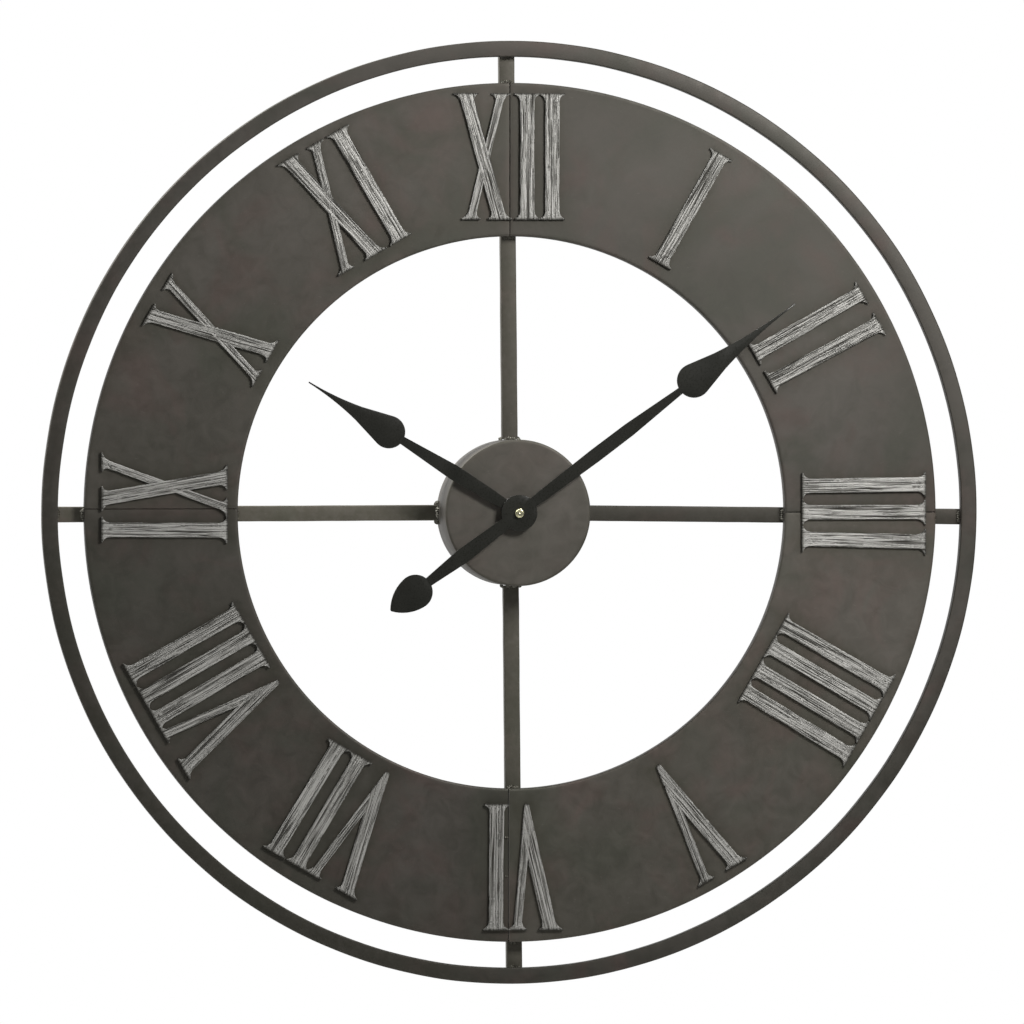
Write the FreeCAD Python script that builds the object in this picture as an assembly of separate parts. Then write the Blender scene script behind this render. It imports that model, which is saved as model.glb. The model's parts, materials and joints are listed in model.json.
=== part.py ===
import FreeCAD, Part
import math
import os

# A large welded-steel wall clock: a thin outer ring and a broad sheet dial, both carried on four
# spokes that run out from a drum-shaped hub. The hub holds a quartz movement, which turns two
# spade hands in front of its face.
#
# Every shape is drawn lying on its back: X to the right of the dial, Y up the dial towards 12,
# and Z forward from the wall, with the hands' axis at X = Y = 0 and the wall at Z = 0. save()
# turns each piece upright, so that the wall is the plane Y = 0 and the clock faces -Y, and puts
# the origin at the centre of the hanger's round opening. Lengths are millimetres.

# ---- outer ring, dial and spokes
RING_R = 355.5          # outer radius of the outer ring: 711 mm (28 in) across
RING_FACE = 12.0        # width of the ring's front face
RING_DEEP = 9.0
DIAL_R = 323.5
DIAL_HOLE_R = 208.0
DIAL_SHEET = 1.5
DIAL_DEEP = 10.0        # front of the dial to the back of its two rims
RIM_WALL = 1.5
SEAM_GAP = 0.8          # the four dial sheets don't quite meet
SEAMS = ((0, -2.0), (90, 0.0), (180, 3.0), (270, 3.0))  # clock angle, and mm clockwise of it
SPOKE_WIDE = 12.0
SPOKE_DEEP = 8.0
SPOKE_BACK = 3.0        # the spokes stand off the wall by this much
EDGE_ROUND = 0.7        # softened arrises of bars and sheets

# ---- hub
HUB_R = 55.0
HUB_WALL = 1.5
HUB_DEEP = 52.0
HUB_EDGE_ROUND = 1.2

# ---- hanger: a plate across the top of the hub's open back, with a keyhole
HANGER_LOW = 33.0       # bottom edge of the plate above the hands' axis
HANGER_THICK = 2.0
HANGER_HEIGHT = 40.0    # centre of the keyhole's round part above the hands' axis
KEYHOLE_R = 4.5
KEYHOLE_SLOT = 4.4
KEYHOLE_RISE = 6.0      # how far the screw climbs into the slot

# ---- levels forward from the wall
SPOKE_FRONT = SPOKE_BACK + SPOKE_DEEP
RING_FRONT = SPOKE_FRONT + RING_DEEP
DIAL_FRONT = SPOKE_FRONT + DIAL_DEEP

# ---- spokes: clock angle in degrees from 12, each a little off square as it was welded
SPOKES = {"spoke_top": -0.5, "spoke_right": 90.6, "spoke_bottom": 179.5, "spoke_left": 269.8}

# ---- numerals
NUMERAL_TALL = 96.0
NUMERAL_THICK = 3.0
STROKE_WIDE = 11.0      # thick strokes of I
STROKE_DIAGONAL = 10.4  # thick strokes of V and X, measured across the page
STROKE_THIN = 6.2
SERIF_OUT = 4.2
SERIF_BRACKET = 7.5
SERIF_SLAB = 1.6
V_FOOT_WIDE = 2.8
# Each numeral was cut and placed by hand: its hour, the radius of its middle, and its letters.
# Letters are given by where the middles of their strokes lie, in mm clockwise of the hour line:
#   I: foot, head      V: foot, head of thick stroke, head of thin stroke
#   X: foot and head of thick stroke, foot and head of thin stroke
NUMERALS = {
    "numeral_12": (12, 268.0, ("X", -9.5, -36.0, -32.0, -8.5), ("I", 11.0, 11.0), ("I", 30.0, 30.0)),
    "numeral_1": (1, 266.0, ("I", 3.0, 2.5)),
    "numeral_2": (2, 266.5, ("I", -11.5, -10.5), ("I", 13.0, 16.5)),
    "numeral_3": (3, 268.0, ("I", -20.0, -21.0), ("I", 0.0, 0.0), ("I", 20.0, 22.5)),
    "numeral_4": (4, 267.5, ("I", -29.5, -30.0), ("I", -10.5, -10.0), ("I", 9.5, 10.5),
                  ("I", 28.5, 30.5)),
    "numeral_5": (5, 268.0, ("V", -0.5, -15.0, 12.0)),
    "numeral_6": (6, 267.0, ("V", -10.5, -29.0, -3.5), ("I", 12.0, 13.0)),
    "numeral_7": (7, 264.0, ("V", -15.5, -34.0, -4.5), ("I", 8.0, 9.5), ("I", 27.0, 29.5)),
    "numeral_8": (8, 264.5, ("V", -21.0, -42.0, -12.0), ("I", 1.0, 1.0), ("I", 20.0, 20.0),
                  ("I", 39.0, 40.0)),
    "numeral_9": (9, 263.5, ("I", -13.0, -12.5), ("X", 27.0, 10.5, 3.5, 38.5)),
    "numeral_10": (10, 265.5, ("X", 14.5, -9.0, -9.5, 20.0)),
    "numeral_11": (11, 267.5, ("X", 7.5, -15.0, -19.0, 9.0), ("I", 29.0, 28.5)),
}

# ---- weld beads
BEAD_R = 2.6
BEAD_LONG = 10.0
TACK_R = 1.5
TACKS = (245.0, 274.0)  # radii of the two tacks beside the seam at 6
TACK_ASIDE = 4.5

# ---- movement case
CASE_SIDE = 56.0
CASE_WALL = 1.4
CASE_PLATE = 1.2
CASE_DEEP = 16.0
CASE_CORNER = 3.0
HUB_SEAT = 1.0          # rubber washer between the case and the hub's face
CASE_FRONT = HUB_DEEP - HUB_WALL - HUB_SEAT
CASE_BACK = CASE_FRONT - CASE_DEEP
PLATE_BACK = CASE_FRONT - CASE_PLATE    # inner face of the front plate
COVER_FRONT = CASE_BACK + CASE_PLATE    # inner face of the back cover
BAY_TOP = -11.9         # underside of the wall between battery bay and wheels
BAY_WALL = 1.0
BATTERY_R = 7.1
BATTERY_LONG = 49.4
BATTERY_Y = -19.3
BATTERY_Z = CASE_BACK + BATTERY_R + 0.3

# ---- centre fixing and arbors
FIT = 0.05              # radial clearance of everything that turns
WELD_GAP = 0.08         # root gap left between welded pieces
MINUTE_ARBOR_R = 1.6
HOUR_TUBE_R = 2.5
BUSH_R = 4.0
BUSH_FLANGE_R = 5.9
WASHER_THICK = 0.6
NUT_THICK = 2.0
NUT_FLATS = 13.0
ARBOR_R = 0.6
PIVOT_R = 0.4
PIVOT_LONG = 0.7
END_SHAKE = 0.15
KNOB_ARBOR_R = 1.5

# ---- wheel train: teeth and modules
CANNON_TEETH, MINUTE_WORKS_TEETH, MINUTE_WORKS_MODULE = 12, 36, 0.5
MINUTE_WORKS_PINION, HOUR_TEETH, HOUR_MODULE = 12, 48, 0.4
KNOB_TEETH = 12
ROTOR_TEETH, INTERMEDIATE_TEETH, ROTOR_MODULE = 10, 60, 0.25
INTERMEDIATE_PINION, SECOND_TEETH, SECOND_MODULE = 10, 50, 0.38
SECOND_PINION, THIRD_TEETH, THIRD_MODULE = 10, 75, 0.27
THIRD_PINION, CENTRE_TEETH, CENTRE_MODULE = 10, 80, 0.255
BACKLASH = 0.16         # part of each tooth taken away for free running
PRESSURE = math.radians(20.0)

# ---- wheel train: levels of the toothed rims, forward from the wall
WHEEL_THICK = 1.0
ROTOR_LEVEL = CASE_BACK + 3.1
SECOND_LEVEL = ROTOR_LEVEL + 1.6
THIRD_LEVEL = SECOND_LEVEL + 1.8
CENTRE_LEVEL = THIRD_LEVEL + 2.4
MINUTE_LEVEL = CENTRE_LEVEL + 2.2
HOUR_LEVEL = MINUTE_LEVEL + 2.0
HOUR_WHEEL_THICK = 1.2

# ---- hands
HOUR_HAND_BACK = HUB_DEEP + 4.0
HAND_THICK = 1.2
MINUTE_HAND_BACK = HOUR_HAND_BACK + 3.0
BOSS_R = 13.5
MINUTE_ANGLE = 53.1     # clock angles in degrees from 12, showing about nine minutes past ten
HOUR_ANGLE = 301.7
CAP_FLANGE_R = 3.4
CAP_R = 3.0
CAP_TALL = 4.0

V = FreeCAD.Vector
FORWARD = V(0, 0, 1)
ORIGIN = V(0, 0, 0)


# ---------------------------------------------------------------- helpers
def save(name, *solids):
    """Turn the pieces upright, put the origin at the hanger and write them as one node."""
    shape = solids[0] if len(solids) == 1 else Part.makeCompound(list(solids))
    shape = shape.copy()
    shape.rotate(ORIGIN, V(1, 0, 0), 90)
    shape.translate(V(0, 0, -HANGER_HEIGHT))
    shape.exportStep(os.path.join("parts", name + ".step"))


def at_clock(shape, clock_degrees):
    """Turn a shape drawn at 12 to a clock angle."""
    turned = shape.copy()
    turned.rotate(ORIGIN, FORWARD, -clock_degrees)
    return turned


def disc(radius, low, high, x=0.0, y=0.0):
    return Part.makeCylinder(radius, high - low, V(x, y, low))


def tube(outer, inner, low, high, x=0.0, y=0.0):
    return disc(outer, low, high, x, y).cut(disc(inner, low, high, x, y))


def block(x0, x1, y0, y1, z0, z1):
    return Part.makeBox(x1 - x0, y1 - y0, z1 - z0, V(x0, y0, z0))


def outline(points):
    """A flat face through straight runs and, where a point is a pair, an arc through its middle."""
    edges = []
    here = points[0]
    for step in list(points[1:]) + [points[0]]:
        if isinstance(step, tuple):
            middle, end = step
            edges.append(Part.Arc(here, middle, end).toShape())
        else:
            end = step
            edges.append(Part.makeLine(here, end))
        here = end
    return Part.Face(Part.Wire(edges))


def prism(face, low, high):
    lifted = face.copy()
    lifted.translate(V(0, 0, low))
    return lifted.extrude(V(0, 0, high - low))


def edges_at(shape, z, radius=None):
    """Edges that lie at a level, or only the round ones of one radius there."""
    found = []
    for edge in shape.Edges:
        if any(abs(v.Z - z) > 1e-6 for v in edge.Vertexes):
            continue
        if radius is None:
            found.append(edge)
        elif isinstance(edge.Curve, Part.Circle) and abs(edge.Curve.Radius - radius) < 1e-6:
            found.append(edge)
    return found


# ---------------------------------------------------------------- frame
def outer_ring():
    ring = tube(RING_R, RING_R - RING_FACE, SPOKE_FRONT, RING_FRONT)
    arrises = edges_at(ring, RING_FRONT) + edges_at(ring, SPOKE_FRONT)
    return ring.makeFillet(EDGE_ROUND, arrises)


def spoke(clock_degrees):
    """A square bar from the hub's wall to under the outer ring, drawn at 12 and turned."""
    half = SPOKE_WIDE / 2.0
    bar = block(-half, half, HUB_R / 2.0, RING_R - 2.0, SPOKE_BACK, SPOKE_FRONT)
    long_edges = [e for e in bar.Edges if abs(e.tangentAt(e.FirstParameter).y) > 0.5]
    bar = bar.makeFillet(EDGE_ROUND, long_edges)
    return at_clock(bar, clock_degrees).cut(disc(HUB_R + WELD_GAP, 0, HUB_DEEP))


def dial_quarters():
    """The ring-shaped face, cut along its four seams into sheets named for where they lie."""
    low = DIAL_FRONT - DIAL_SHEET
    sheet = tube(DIAL_R, DIAL_HOLE_R, low, DIAL_FRONT)
    round_arrises = edges_at(sheet, DIAL_FRONT, DIAL_R) + edges_at(sheet, DIAL_FRONT, DIAL_HOLE_R)
    sheet = sheet.makeFillet(EDGE_ROUND, round_arrises)
    half = SEAM_GAP / 2.0
    for clock_degrees, aside in SEAMS:
        gap = block(aside - half, aside + half, HUB_R, RING_R, low, DIAL_FRONT)
        sheet = sheet.cut(at_clock(gap, clock_degrees))
    named = {}
    for quarter in sheet.Solids:
        middle = quarter.CenterOfMass
        level = "upper" if middle.y > 0 else "lower"
        side = "right" if middle.x > 0 else "left"
        named["dial_" + level + "_" + side] = quarter
    return named


def dial_rims():
    """The strips rolled behind the outer and inner edges of the dial."""
    back, front = SPOKE_FRONT, DIAL_FRONT - DIAL_SHEET
    outer = tube(DIAL_R, DIAL_R - RIM_WALL, back, front)
    inner = tube(DIAL_HOLE_R + RIM_WALL, DIAL_HOLE_R, back, front)
    return outer, inner


def bead(length):
    """A quarter-round weld along X, in the corner between the planes Y = 0 and Z = 0."""
    half = length / 2.0 - BEAD_R
    rod = Part.makeCylinder(BEAD_R, 2 * half, V(-half, 0, 0), V(1, 0, 0))
    for end in (-half, half):
        rod = rod.fuse(Part.makeSphere(BEAD_R, V(end, 0, 0)))
    return rod.common(block(-length, length, 0, BEAD_R, 0, BEAD_R))


def weld_beads():
    """Beads where each spoke meets hub, rims and ring, and two tacks on the seam at 6."""
    half = SPOKE_WIDE / 2.0
    beads = []
    for clock_degrees in SPOKES.values():
        across = []
        for radius, away in ((HUB_R, 1), (DIAL_HOLE_R, -1), (DIAL_R, 1), (RING_R - RING_FACE, -1)):
            one = bead(BEAD_LONG)
            if away < 0:
                one.rotate(ORIGIN, FORWARD, 180)
            wall = radius if away > 0 else math.sqrt(radius ** 2 - half ** 2)
            one.translate(V(0, wall, SPOKE_FRONT))
            across.append(one)
        for side in (-1, 1):
            one = bead(SPOKE_DEEP)
            one.rotate(ORIGIN, V(0, 1, 0), 90)
            if side < 0:
                one = one.mirror(ORIGIN, V(1, 0, 0))
            wall = math.sqrt(HUB_R ** 2 - half ** 2)
            one.translate(V(side * half, wall + 0.02, SPOKE_BACK + SPOKE_DEEP / 2.0))
            across.append(one)
        beads += [at_clock(one, clock_degrees) for one in across]
    for radius in TACKS:
        dome = Part.makeSphere(TACK_R, V(-TACK_ASIDE, -radius, DIAL_FRONT))
        beads.append(dome.common(block(-10, 0, -DIAL_R, 0, DIAL_FRONT, HUB_DEEP)))
    return beads


# ---------------------------------------------------------------- hub and hanger
def hub_drum():
    return tube(HUB_R, HUB_R - HUB_WALL, 0, HUB_DEEP - HUB_WALL)


def hub_face():
    cover = tube(HUB_R, BUSH_R + 0.1, HUB_DEEP - HUB_WALL, HUB_DEEP)
    return cover.makeFillet(HUB_EDGE_ROUND, edges_at(cover, HUB_DEEP, HUB_R))


def hanger_plate():
    plate = disc(HUB_R - HUB_WALL - WELD_GAP, 0, HANGER_THICK)
    plate = plate.common(block(-HUB_R, HUB_R, HANGER_LOW, HUB_R, 0, HANGER_THICK))
    half = KEYHOLE_SLOT / 2.0
    top = HANGER_HEIGHT + KEYHOLE_RISE
    keyhole = disc(KEYHOLE_R, 0, HANGER_THICK, y=HANGER_HEIGHT)
    keyhole = keyhole.fuse(block(-half, half, HANGER_HEIGHT, top, 0, HANGER_THICK))
    keyhole = keyhole.fuse(disc(half, 0, HANGER_THICK, y=top))
    return plate.cut(keyhole)


# ---------------------------------------------------------------- numerals
def serif_stroke(x_foot, x_head, width, foot=True, head=True):
    """A raised stroke from foot line to head line, with bracketed serifs at the ends asked for."""
    tall = NUMERAL_TALL
    slope = (x_head - x_foot) / tall

    def side(sign, y):
        return x_foot + slope * y + sign * width / 2.0

    def serif_run(sign, end_y, inward):
        """From the stroke's side out to the tip of the serif, as an arc and a short slab edge."""
        bracket = end_y + inward * SERIF_BRACKET
        slab = end_y + inward * SERIF_SLAB
        near = end_y + inward * SERIF_BRACKET * 0.42
        tip = side(sign, end_y) + sign * SERIF_OUT
        return [V(side(sign, bracket), bracket, 0),
                (V(side(sign, near) + sign * SERIF_OUT * 0.22, near, 0), V(tip, slab, 0)),
                V(tip, end_y, 0)]

    points = []
    for sign, end_y, inward, wanted in ((-1, 0.0, 1, foot), (1, 0.0, 1, foot),
                                        (1, tall, -1, head), (-1, tall, -1, head)):
        run = serif_run(sign, end_y, inward) if wanted else [V(side(sign, end_y), end_y, 0)]
        if wanted and (sign, inward) in ((1, 1), (-1, -1)):
            tip_end, (middle, slab_end), side_end = run[2], run[1], run[0]
            run = [tip_end, slab_end, (middle, side_end)]
        points += run
    return prism(outline(points), 0, NUMERAL_THICK)


def letter_i(foot, head):
    return serif_stroke(foot, head, STROKE_WIDE)


def letter_v(foot, thick_head, thin_head):
    """Two strokes with serifs at their heads only, trimmed to meet in a blunt foot."""
    left, right = foot - V_FOOT_WIDE / 2.0, foot + V_FOOT_WIDE / 2.0
    half_thick, half_thin = STROKE_DIAGONAL / 2.0, STROKE_THIN / 2.0
    thick = serif_stroke(left + half_thick, thick_head, STROKE_DIAGONAL, foot=False)
    thin = serif_stroke(right - half_thin, thin_head, STROKE_THIN, foot=False)
    far = NUMERAL_TALL
    beyond_thin = outline([V(right, 0, 0), V(right + far, 0, 0), V(thin_head + half_thin, far, 0)])
    beyond_thick = outline([V(left, 0, 0), V(thick_head - half_thick, far, 0), V(left - far, 0, 0)])
    thick = thick.cut(prism(beyond_thin, 0, NUMERAL_THICK))
    return thick.fuse(thin.cut(prism(beyond_thick, 0, NUMERAL_THICK)))


def letter_x(thick_foot, thick_head, thin_foot, thin_head):
    thick = serif_stroke(thick_foot, thick_head, STROKE_DIAGONAL)
    return thick.fuse(serif_stroke(thin_foot, thin_head, STROKE_THIN))


LETTERS = {"I": letter_i, "V": letter_v, "X": letter_x}


def numeral(hour, middle_r, *letters):
    """A raised numeral with its feet towards the centre; letters whose serifs meet are one piece."""
    first, *others = [LETTERS[letter](*places) for letter, *places in letters]
    raised = (first.fuse(others) if others else first).removeSplitter()
    raised.translate(V(0, middle_r - NUMERAL_TALL / 2.0, DIAL_FRONT))
    return at_clock(raised, 30.0 * hour)


# ---------------------------------------------------------------- gears
def involute(angle):
    return math.tan(angle) - angle


def gear_face(teeth, module, phase, addendum=0.85):
    """A spur gear's outline with straight-flanked teeth; one tooth points at the phase angle."""
    pitch_r = teeth * module / 2.0
    base_r = pitch_r * math.cos(PRESSURE)
    tip_r = pitch_r + addendum * module
    root_r = pitch_r - 1.2 * module
    half_pitch = math.pi / (2 * teeth) * (1 - BACKLASH)

    def half_angle(radius):
        local = math.acos(min(1.0, base_r / radius))
        return half_pitch + involute(PRESSURE) - involute(local)

    corners = []
    for k in range(teeth):
        middle = phase + 2 * math.pi * k / teeth
        for radius, sign in ((root_r, -1), (tip_r, -1), (tip_r, 1), (root_r, 1)):
            a = middle + sign * half_angle(radius)
            corners.append(V(radius * math.cos(a), radius * math.sin(a), 0))
    return outline(corners)


def gear(teeth, module, phase, low, high, bore=0.0):
    rim = prism(gear_face(teeth, module, phase), low, high)
    return rim.cut(disc(bore, low, high)) if bore else rim


def matched_phase(direction, teeth_a, phase_a, teeth_b):
    """Phase of gear B that puts its gaps over A's teeth, B standing from A in a direction."""
    pitch_a, pitch_b = 2 * math.pi / teeth_a, 2 * math.pi / teeth_b
    turned = ((direction - phase_a) / pitch_a) % 1.0
    return direction + math.pi + pitch_b * (0.5 + turned)


def mesh_distance(teeth_a, teeth_b, module):
    return (teeth_a + teeth_b) * module / 2.0


def polar(distance, degrees, start=ORIGIN):
    a = math.radians(degrees)
    return V(start.x + distance * math.cos(a), start.y + distance * math.sin(a), 0)


def moved(shape, place):
    shape.translate(place)
    return shape


# Directions between the arbors, counter-clockwise from the dial's right-hand side
MINUTE_WORKS_WAY, KNOB_WAY = 90.0, 30.0
THIRD_WAY, INTERMEDIATE_WAY, ROTOR_WAY = 15.0, 170.0, 110.0

MINUTE_WORKS_AT = polar(
    mesh_distance(CANNON_TEETH, MINUTE_WORKS_TEETH, MINUTE_WORKS_MODULE), MINUTE_WORKS_WAY)
KNOB_AT = polar(
    mesh_distance(MINUTE_WORKS_TEETH, KNOB_TEETH, MINUTE_WORKS_MODULE), KNOB_WAY, MINUTE_WORKS_AT)
THIRD_AT = polar(mesh_distance(SECOND_PINION, THIRD_TEETH, THIRD_MODULE), THIRD_WAY)
INTERMEDIATE_AT = polar(
    mesh_distance(INTERMEDIATE_PINION, SECOND_TEETH, SECOND_MODULE), INTERMEDIATE_WAY)
ROTOR_AT = polar(
    mesh_distance(ROTOR_TEETH, INTERMEDIATE_TEETH, ROTOR_MODULE), ROTOR_WAY, INTERMEDIATE_AT)


def arbor(radius=ARBOR_R, low=COVER_FRONT + END_SHAKE, high=PLATE_BACK - END_SHAKE):
    """A plain arbor with a thinner pivot at each end, which runs in a blind hole."""
    body = disc(radius, low, high)
    return body.fuse(disc(PIVOT_R, low - PIVOT_LONG, high + PIVOT_LONG))


def minute_arbor():
    """Minute arbor with its cannon pinion, a collar behind the centre wheel and a thin front end."""
    collar = disc(2.4, CENTRE_LEVEL - 0.7, CENTRE_LEVEL - 0.05)
    shaft = disc(MINUTE_ARBOR_R, CENTRE_LEVEL - 0.7, MINUTE_HAND_BACK + HAND_THICK)
    tip = disc(1.3, MINUTE_HAND_BACK + HAND_THICK, MINUTE_HAND_BACK + HAND_THICK + 2.3)
    pinion = gear(CANNON_TEETH, MINUTE_WORKS_MODULE, math.radians(MINUTE_WORKS_WAY),
                  MINUTE_LEVEL, MINUTE_LEVEL + HOUR_WHEEL_THICK)
    socket = disc(PIVOT_R + FIT, CENTRE_LEVEL - 0.7, CENTRE_LEVEL + 1.5)
    return shaft.fuse([collar, tip, pinion]).cut(socket).removeSplitter()


def minute_works_wheel():
    """The wheel that reduces minutes to hours: a large rim with a pinion in front of it."""
    way = math.radians(MINUTE_WORKS_WAY)
    bore = 0.9 + FIT
    rim_phase = matched_phase(way, CANNON_TEETH, way, MINUTE_WORKS_TEETH)
    rim = gear(MINUTE_WORKS_TEETH, MINUTE_WORKS_MODULE, rim_phase,
               MINUTE_LEVEL, MINUTE_LEVEL + HOUR_WHEEL_THICK, bore)
    pinion = gear(MINUTE_WORKS_PINION, HOUR_MODULE, way + math.pi,
                  MINUTE_LEVEL + HOUR_WHEEL_THICK, HOUR_LEVEL + HOUR_WHEEL_THICK, bore)
    return moved(rim.fuse(pinion), MINUTE_WORKS_AT)


def hour_wheel():
    """The hour wheel and its long tube, which runs inside the bush and carries the hour hand."""
    way = math.radians(MINUTE_WORKS_WAY)
    phase = matched_phase(way + math.pi, MINUTE_WORKS_PINION, way + math.pi, HOUR_TEETH)
    rim = gear(HOUR_TEETH, HOUR_MODULE, phase, HOUR_LEVEL, HOUR_LEVEL + HOUR_WHEEL_THICK)
    pipe = disc(HOUR_TUBE_R, HOUR_LEVEL, HOUR_HAND_BACK + HAND_THICK + 0.2)
    return rim.fuse(pipe).cut(disc(MINUTE_ARBOR_R + FIT, 0, 100))


def setting_knob():
    """Arbor with a pinion on the minute-works wheel and a knurled knob behind the cover."""
    cannon_way, knob_way = math.radians(MINUTE_WORKS_WAY), math.radians(KNOB_WAY)
    rim_phase = matched_phase(cannon_way, CANNON_TEETH, cannon_way, MINUTE_WORKS_TEETH)
    phase = matched_phase(knob_way, MINUTE_WORKS_TEETH, rim_phase, KNOB_TEETH)
    pinion = gear(KNOB_TEETH, MINUTE_WORKS_MODULE, phase,
                  MINUTE_LEVEL, MINUTE_LEVEL + HOUR_WHEEL_THICK)
    shaft = disc(KNOB_ARBOR_R, CASE_BACK - 0.3, MINUTE_LEVEL)
    pivot = disc(0.8, MINUTE_LEVEL, PLATE_BACK + PIVOT_LONG)
    grip = gear(30, 0.4, 0.0, CASE_BACK - 4.0, CASE_BACK - 0.3)
    return moved(shaft.fuse([pivot, pinion, grip]), KNOB_AT)


def centre_wheel():
    """The wheel that drives the minute arbor through the friction of the clutch spring."""
    way = math.radians(THIRD_WAY)
    phase = matched_phase(way + math.pi, THIRD_PINION, way + math.pi, CENTRE_TEETH)
    return gear(CENTRE_TEETH, CENTRE_MODULE, phase, CENTRE_LEVEL, CENTRE_LEVEL + WHEEL_THICK,
                MINUTE_ARBOR_R + FIT)


def clutch_spring():
    """A dished washer squeezed between the centre wheel and the cannon pinion."""
    low, high = CENTRE_LEVEL + WHEEL_THICK + 0.02, MINUTE_LEVEL - 0.02
    rise = high - low
    wide = Part.makeCone(4.2, 2.4, rise, V(0, 0, low))
    hollow = Part.makeCone(3.9, 2.1, rise, V(0, 0, low))
    return wide.cut(hollow).cut(disc(MINUTE_ARBOR_R + FIT, low, high))


def third_wheel():
    way = math.radians(THIRD_WAY)
    rim_phase = matched_phase(way, SECOND_PINION, way, THIRD_TEETH)
    rim = gear(THIRD_TEETH, THIRD_MODULE, rim_phase, THIRD_LEVEL, THIRD_LEVEL + WHEEL_THICK)
    pinion = gear(THIRD_PINION, CENTRE_MODULE, way + math.pi,
                  THIRD_LEVEL + WHEEL_THICK, CENTRE_LEVEL + WHEEL_THICK)
    return moved(arbor().fuse([rim, pinion]), THIRD_AT)


def second_wheel():
    """Turns once a minute; its front pivot runs in the back end of the minute arbor."""
    out_way, in_way = math.radians(THIRD_WAY), math.radians(INTERMEDIATE_WAY)
    rim_phase = matched_phase(in_way + math.pi, INTERMEDIATE_PINION, in_way + math.pi, SECOND_TEETH)
    rim = gear(SECOND_TEETH, SECOND_MODULE, rim_phase, SECOND_LEVEL, SECOND_LEVEL + WHEEL_THICK)
    pinion = gear(SECOND_PINION, THIRD_MODULE, out_way,
                  SECOND_LEVEL + WHEEL_THICK, THIRD_LEVEL + WHEEL_THICK)
    staff = arbor(high=CENTRE_LEVEL - 0.7 - END_SHAKE)
    return staff.fuse([rim, pinion])


def intermediate_wheel():
    in_way, out_way = math.radians(ROTOR_WAY), math.radians(INTERMEDIATE_WAY)
    rim_phase = matched_phase(in_way + math.pi, ROTOR_TEETH, in_way + math.pi, INTERMEDIATE_TEETH)
    rim = gear(INTERMEDIATE_TEETH, ROTOR_MODULE, rim_phase, ROTOR_LEVEL, ROTOR_LEVEL + WHEEL_THICK)
    pinion = gear(INTERMEDIATE_PINION, SECOND_MODULE, out_way + math.pi,
                  ROTOR_LEVEL + WHEEL_THICK, SECOND_LEVEL + WHEEL_THICK)
    return moved(arbor().fuse([rim, pinion]), INTERMEDIATE_AT)


ROTOR_MAGNET_R = 2.6
STATOR_LEVEL = THIRD_LEVEL - 0.6


def rotor():
    """The stepping motor's rotor: a pinion on an arbor, and the magnet ring pressed on it."""
    pinion = gear(ROTOR_TEETH, ROTOR_MODULE, math.radians(ROTOR_WAY) + math.pi,
                  ROTOR_LEVEL, ROTOR_LEVEL + WHEEL_THICK)
    staff = arbor().fuse(pinion)
    magnet = tube(ROTOR_MAGNET_R, ARBOR_R, STATOR_LEVEL - 1.0, STATOR_LEVEL + 2.0)
    return moved(staff, ROTOR_AT), moved(magnet, ROTOR_AT)


# ---------------------------------------------------------------- movement
COIL_X, COIL_LOW, COIL_HIGH, COIL_R = -22.6, 7.8, 17.4, 3.2
STATOR_THICK = 1.0


def stator():
    """Soft-iron plate round the magnet, with two arms and the core that the coil is wound on."""
    low, high = STATOR_LEVEL, STATOR_LEVEL + STATOR_THICK
    plate = block(COIL_X - 2.0, -10.4, 5.0, 20.3, low, high)
    plate = plate.cut(disc(ROTOR_MAGNET_R + 0.5, low, high, ROTOR_AT.x, ROTOR_AT.y))
    window = block(COIL_X + 1.2, COIL_X + COIL_R + 0.6, COIL_LOW - 0.3, COIL_HIGH + 0.3, low, high)
    notch = block(COIL_X - 3.0, COIL_X - 1.2, COIL_LOW - 0.3, COIL_HIGH + 0.3, low, high)
    return plate.cut(window).cut(notch)


def coil():
    middle = STATOR_LEVEL + STATOR_THICK / 2.0
    winding = Part.makeCylinder(COIL_R, COIL_HIGH - COIL_LOW, V(COIL_X, COIL_LOW, middle), V(0, 1, 0))
    core_room = block(COIL_X - 1.25, COIL_X + 1.25, COIL_LOW, COIL_HIGH,
                      STATOR_LEVEL - 0.05, STATOR_LEVEL + STATOR_THICK + 0.05)
    return winding.cut(core_room)


def rounded_square(half, corner, low, high):
    box = block(-half, half, -half, half, low, high)
    uprights = [e for e in box.Edges if abs(e.tangentAt(e.FirstParameter).z) > 0.5]
    return box.makeFillet(corner, uprights)


def pivot_holes(places, low, high, radius=PIVOT_R + FIT):
    return [disc(radius, low, high, at.x, at.y) for at in places]


def movement_case():
    """Moulded tray open at the back, with a wall above the battery bay and a post for the works."""
    half = CASE_SIDE / 2.0
    shell = rounded_square(half, CASE_CORNER, CASE_BACK, CASE_FRONT)
    inner = half - CASE_WALL
    room = rounded_square(inner, CASE_CORNER - CASE_WALL, CASE_BACK, PLATE_BACK)
    bay_wall = block(-inner, inner, BAY_TOP, BAY_TOP + BAY_WALL, COVER_FRONT, PLATE_BACK)
    case = shell.cut(room).fuse(bay_wall)
    post = disc(0.9, MINUTE_LEVEL - 0.3, PLATE_BACK, MINUTE_WORKS_AT.x, MINUTE_WORKS_AT.y)
    case = case.fuse(post)
    case = case.cut(disc(BUSH_FLANGE_R + 0.05, PLATE_BACK, CASE_FRONT))
    deep = PLATE_BACK + PIVOT_LONG + 0.1
    for hole in pivot_holes((THIRD_AT, INTERMEDIATE_AT, ROTOR_AT), PLATE_BACK, deep):
        case = case.cut(hole)
    return case.cut(disc(0.8 + FIT, PLATE_BACK, deep, KNOB_AT.x, KNOB_AT.y))


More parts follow.
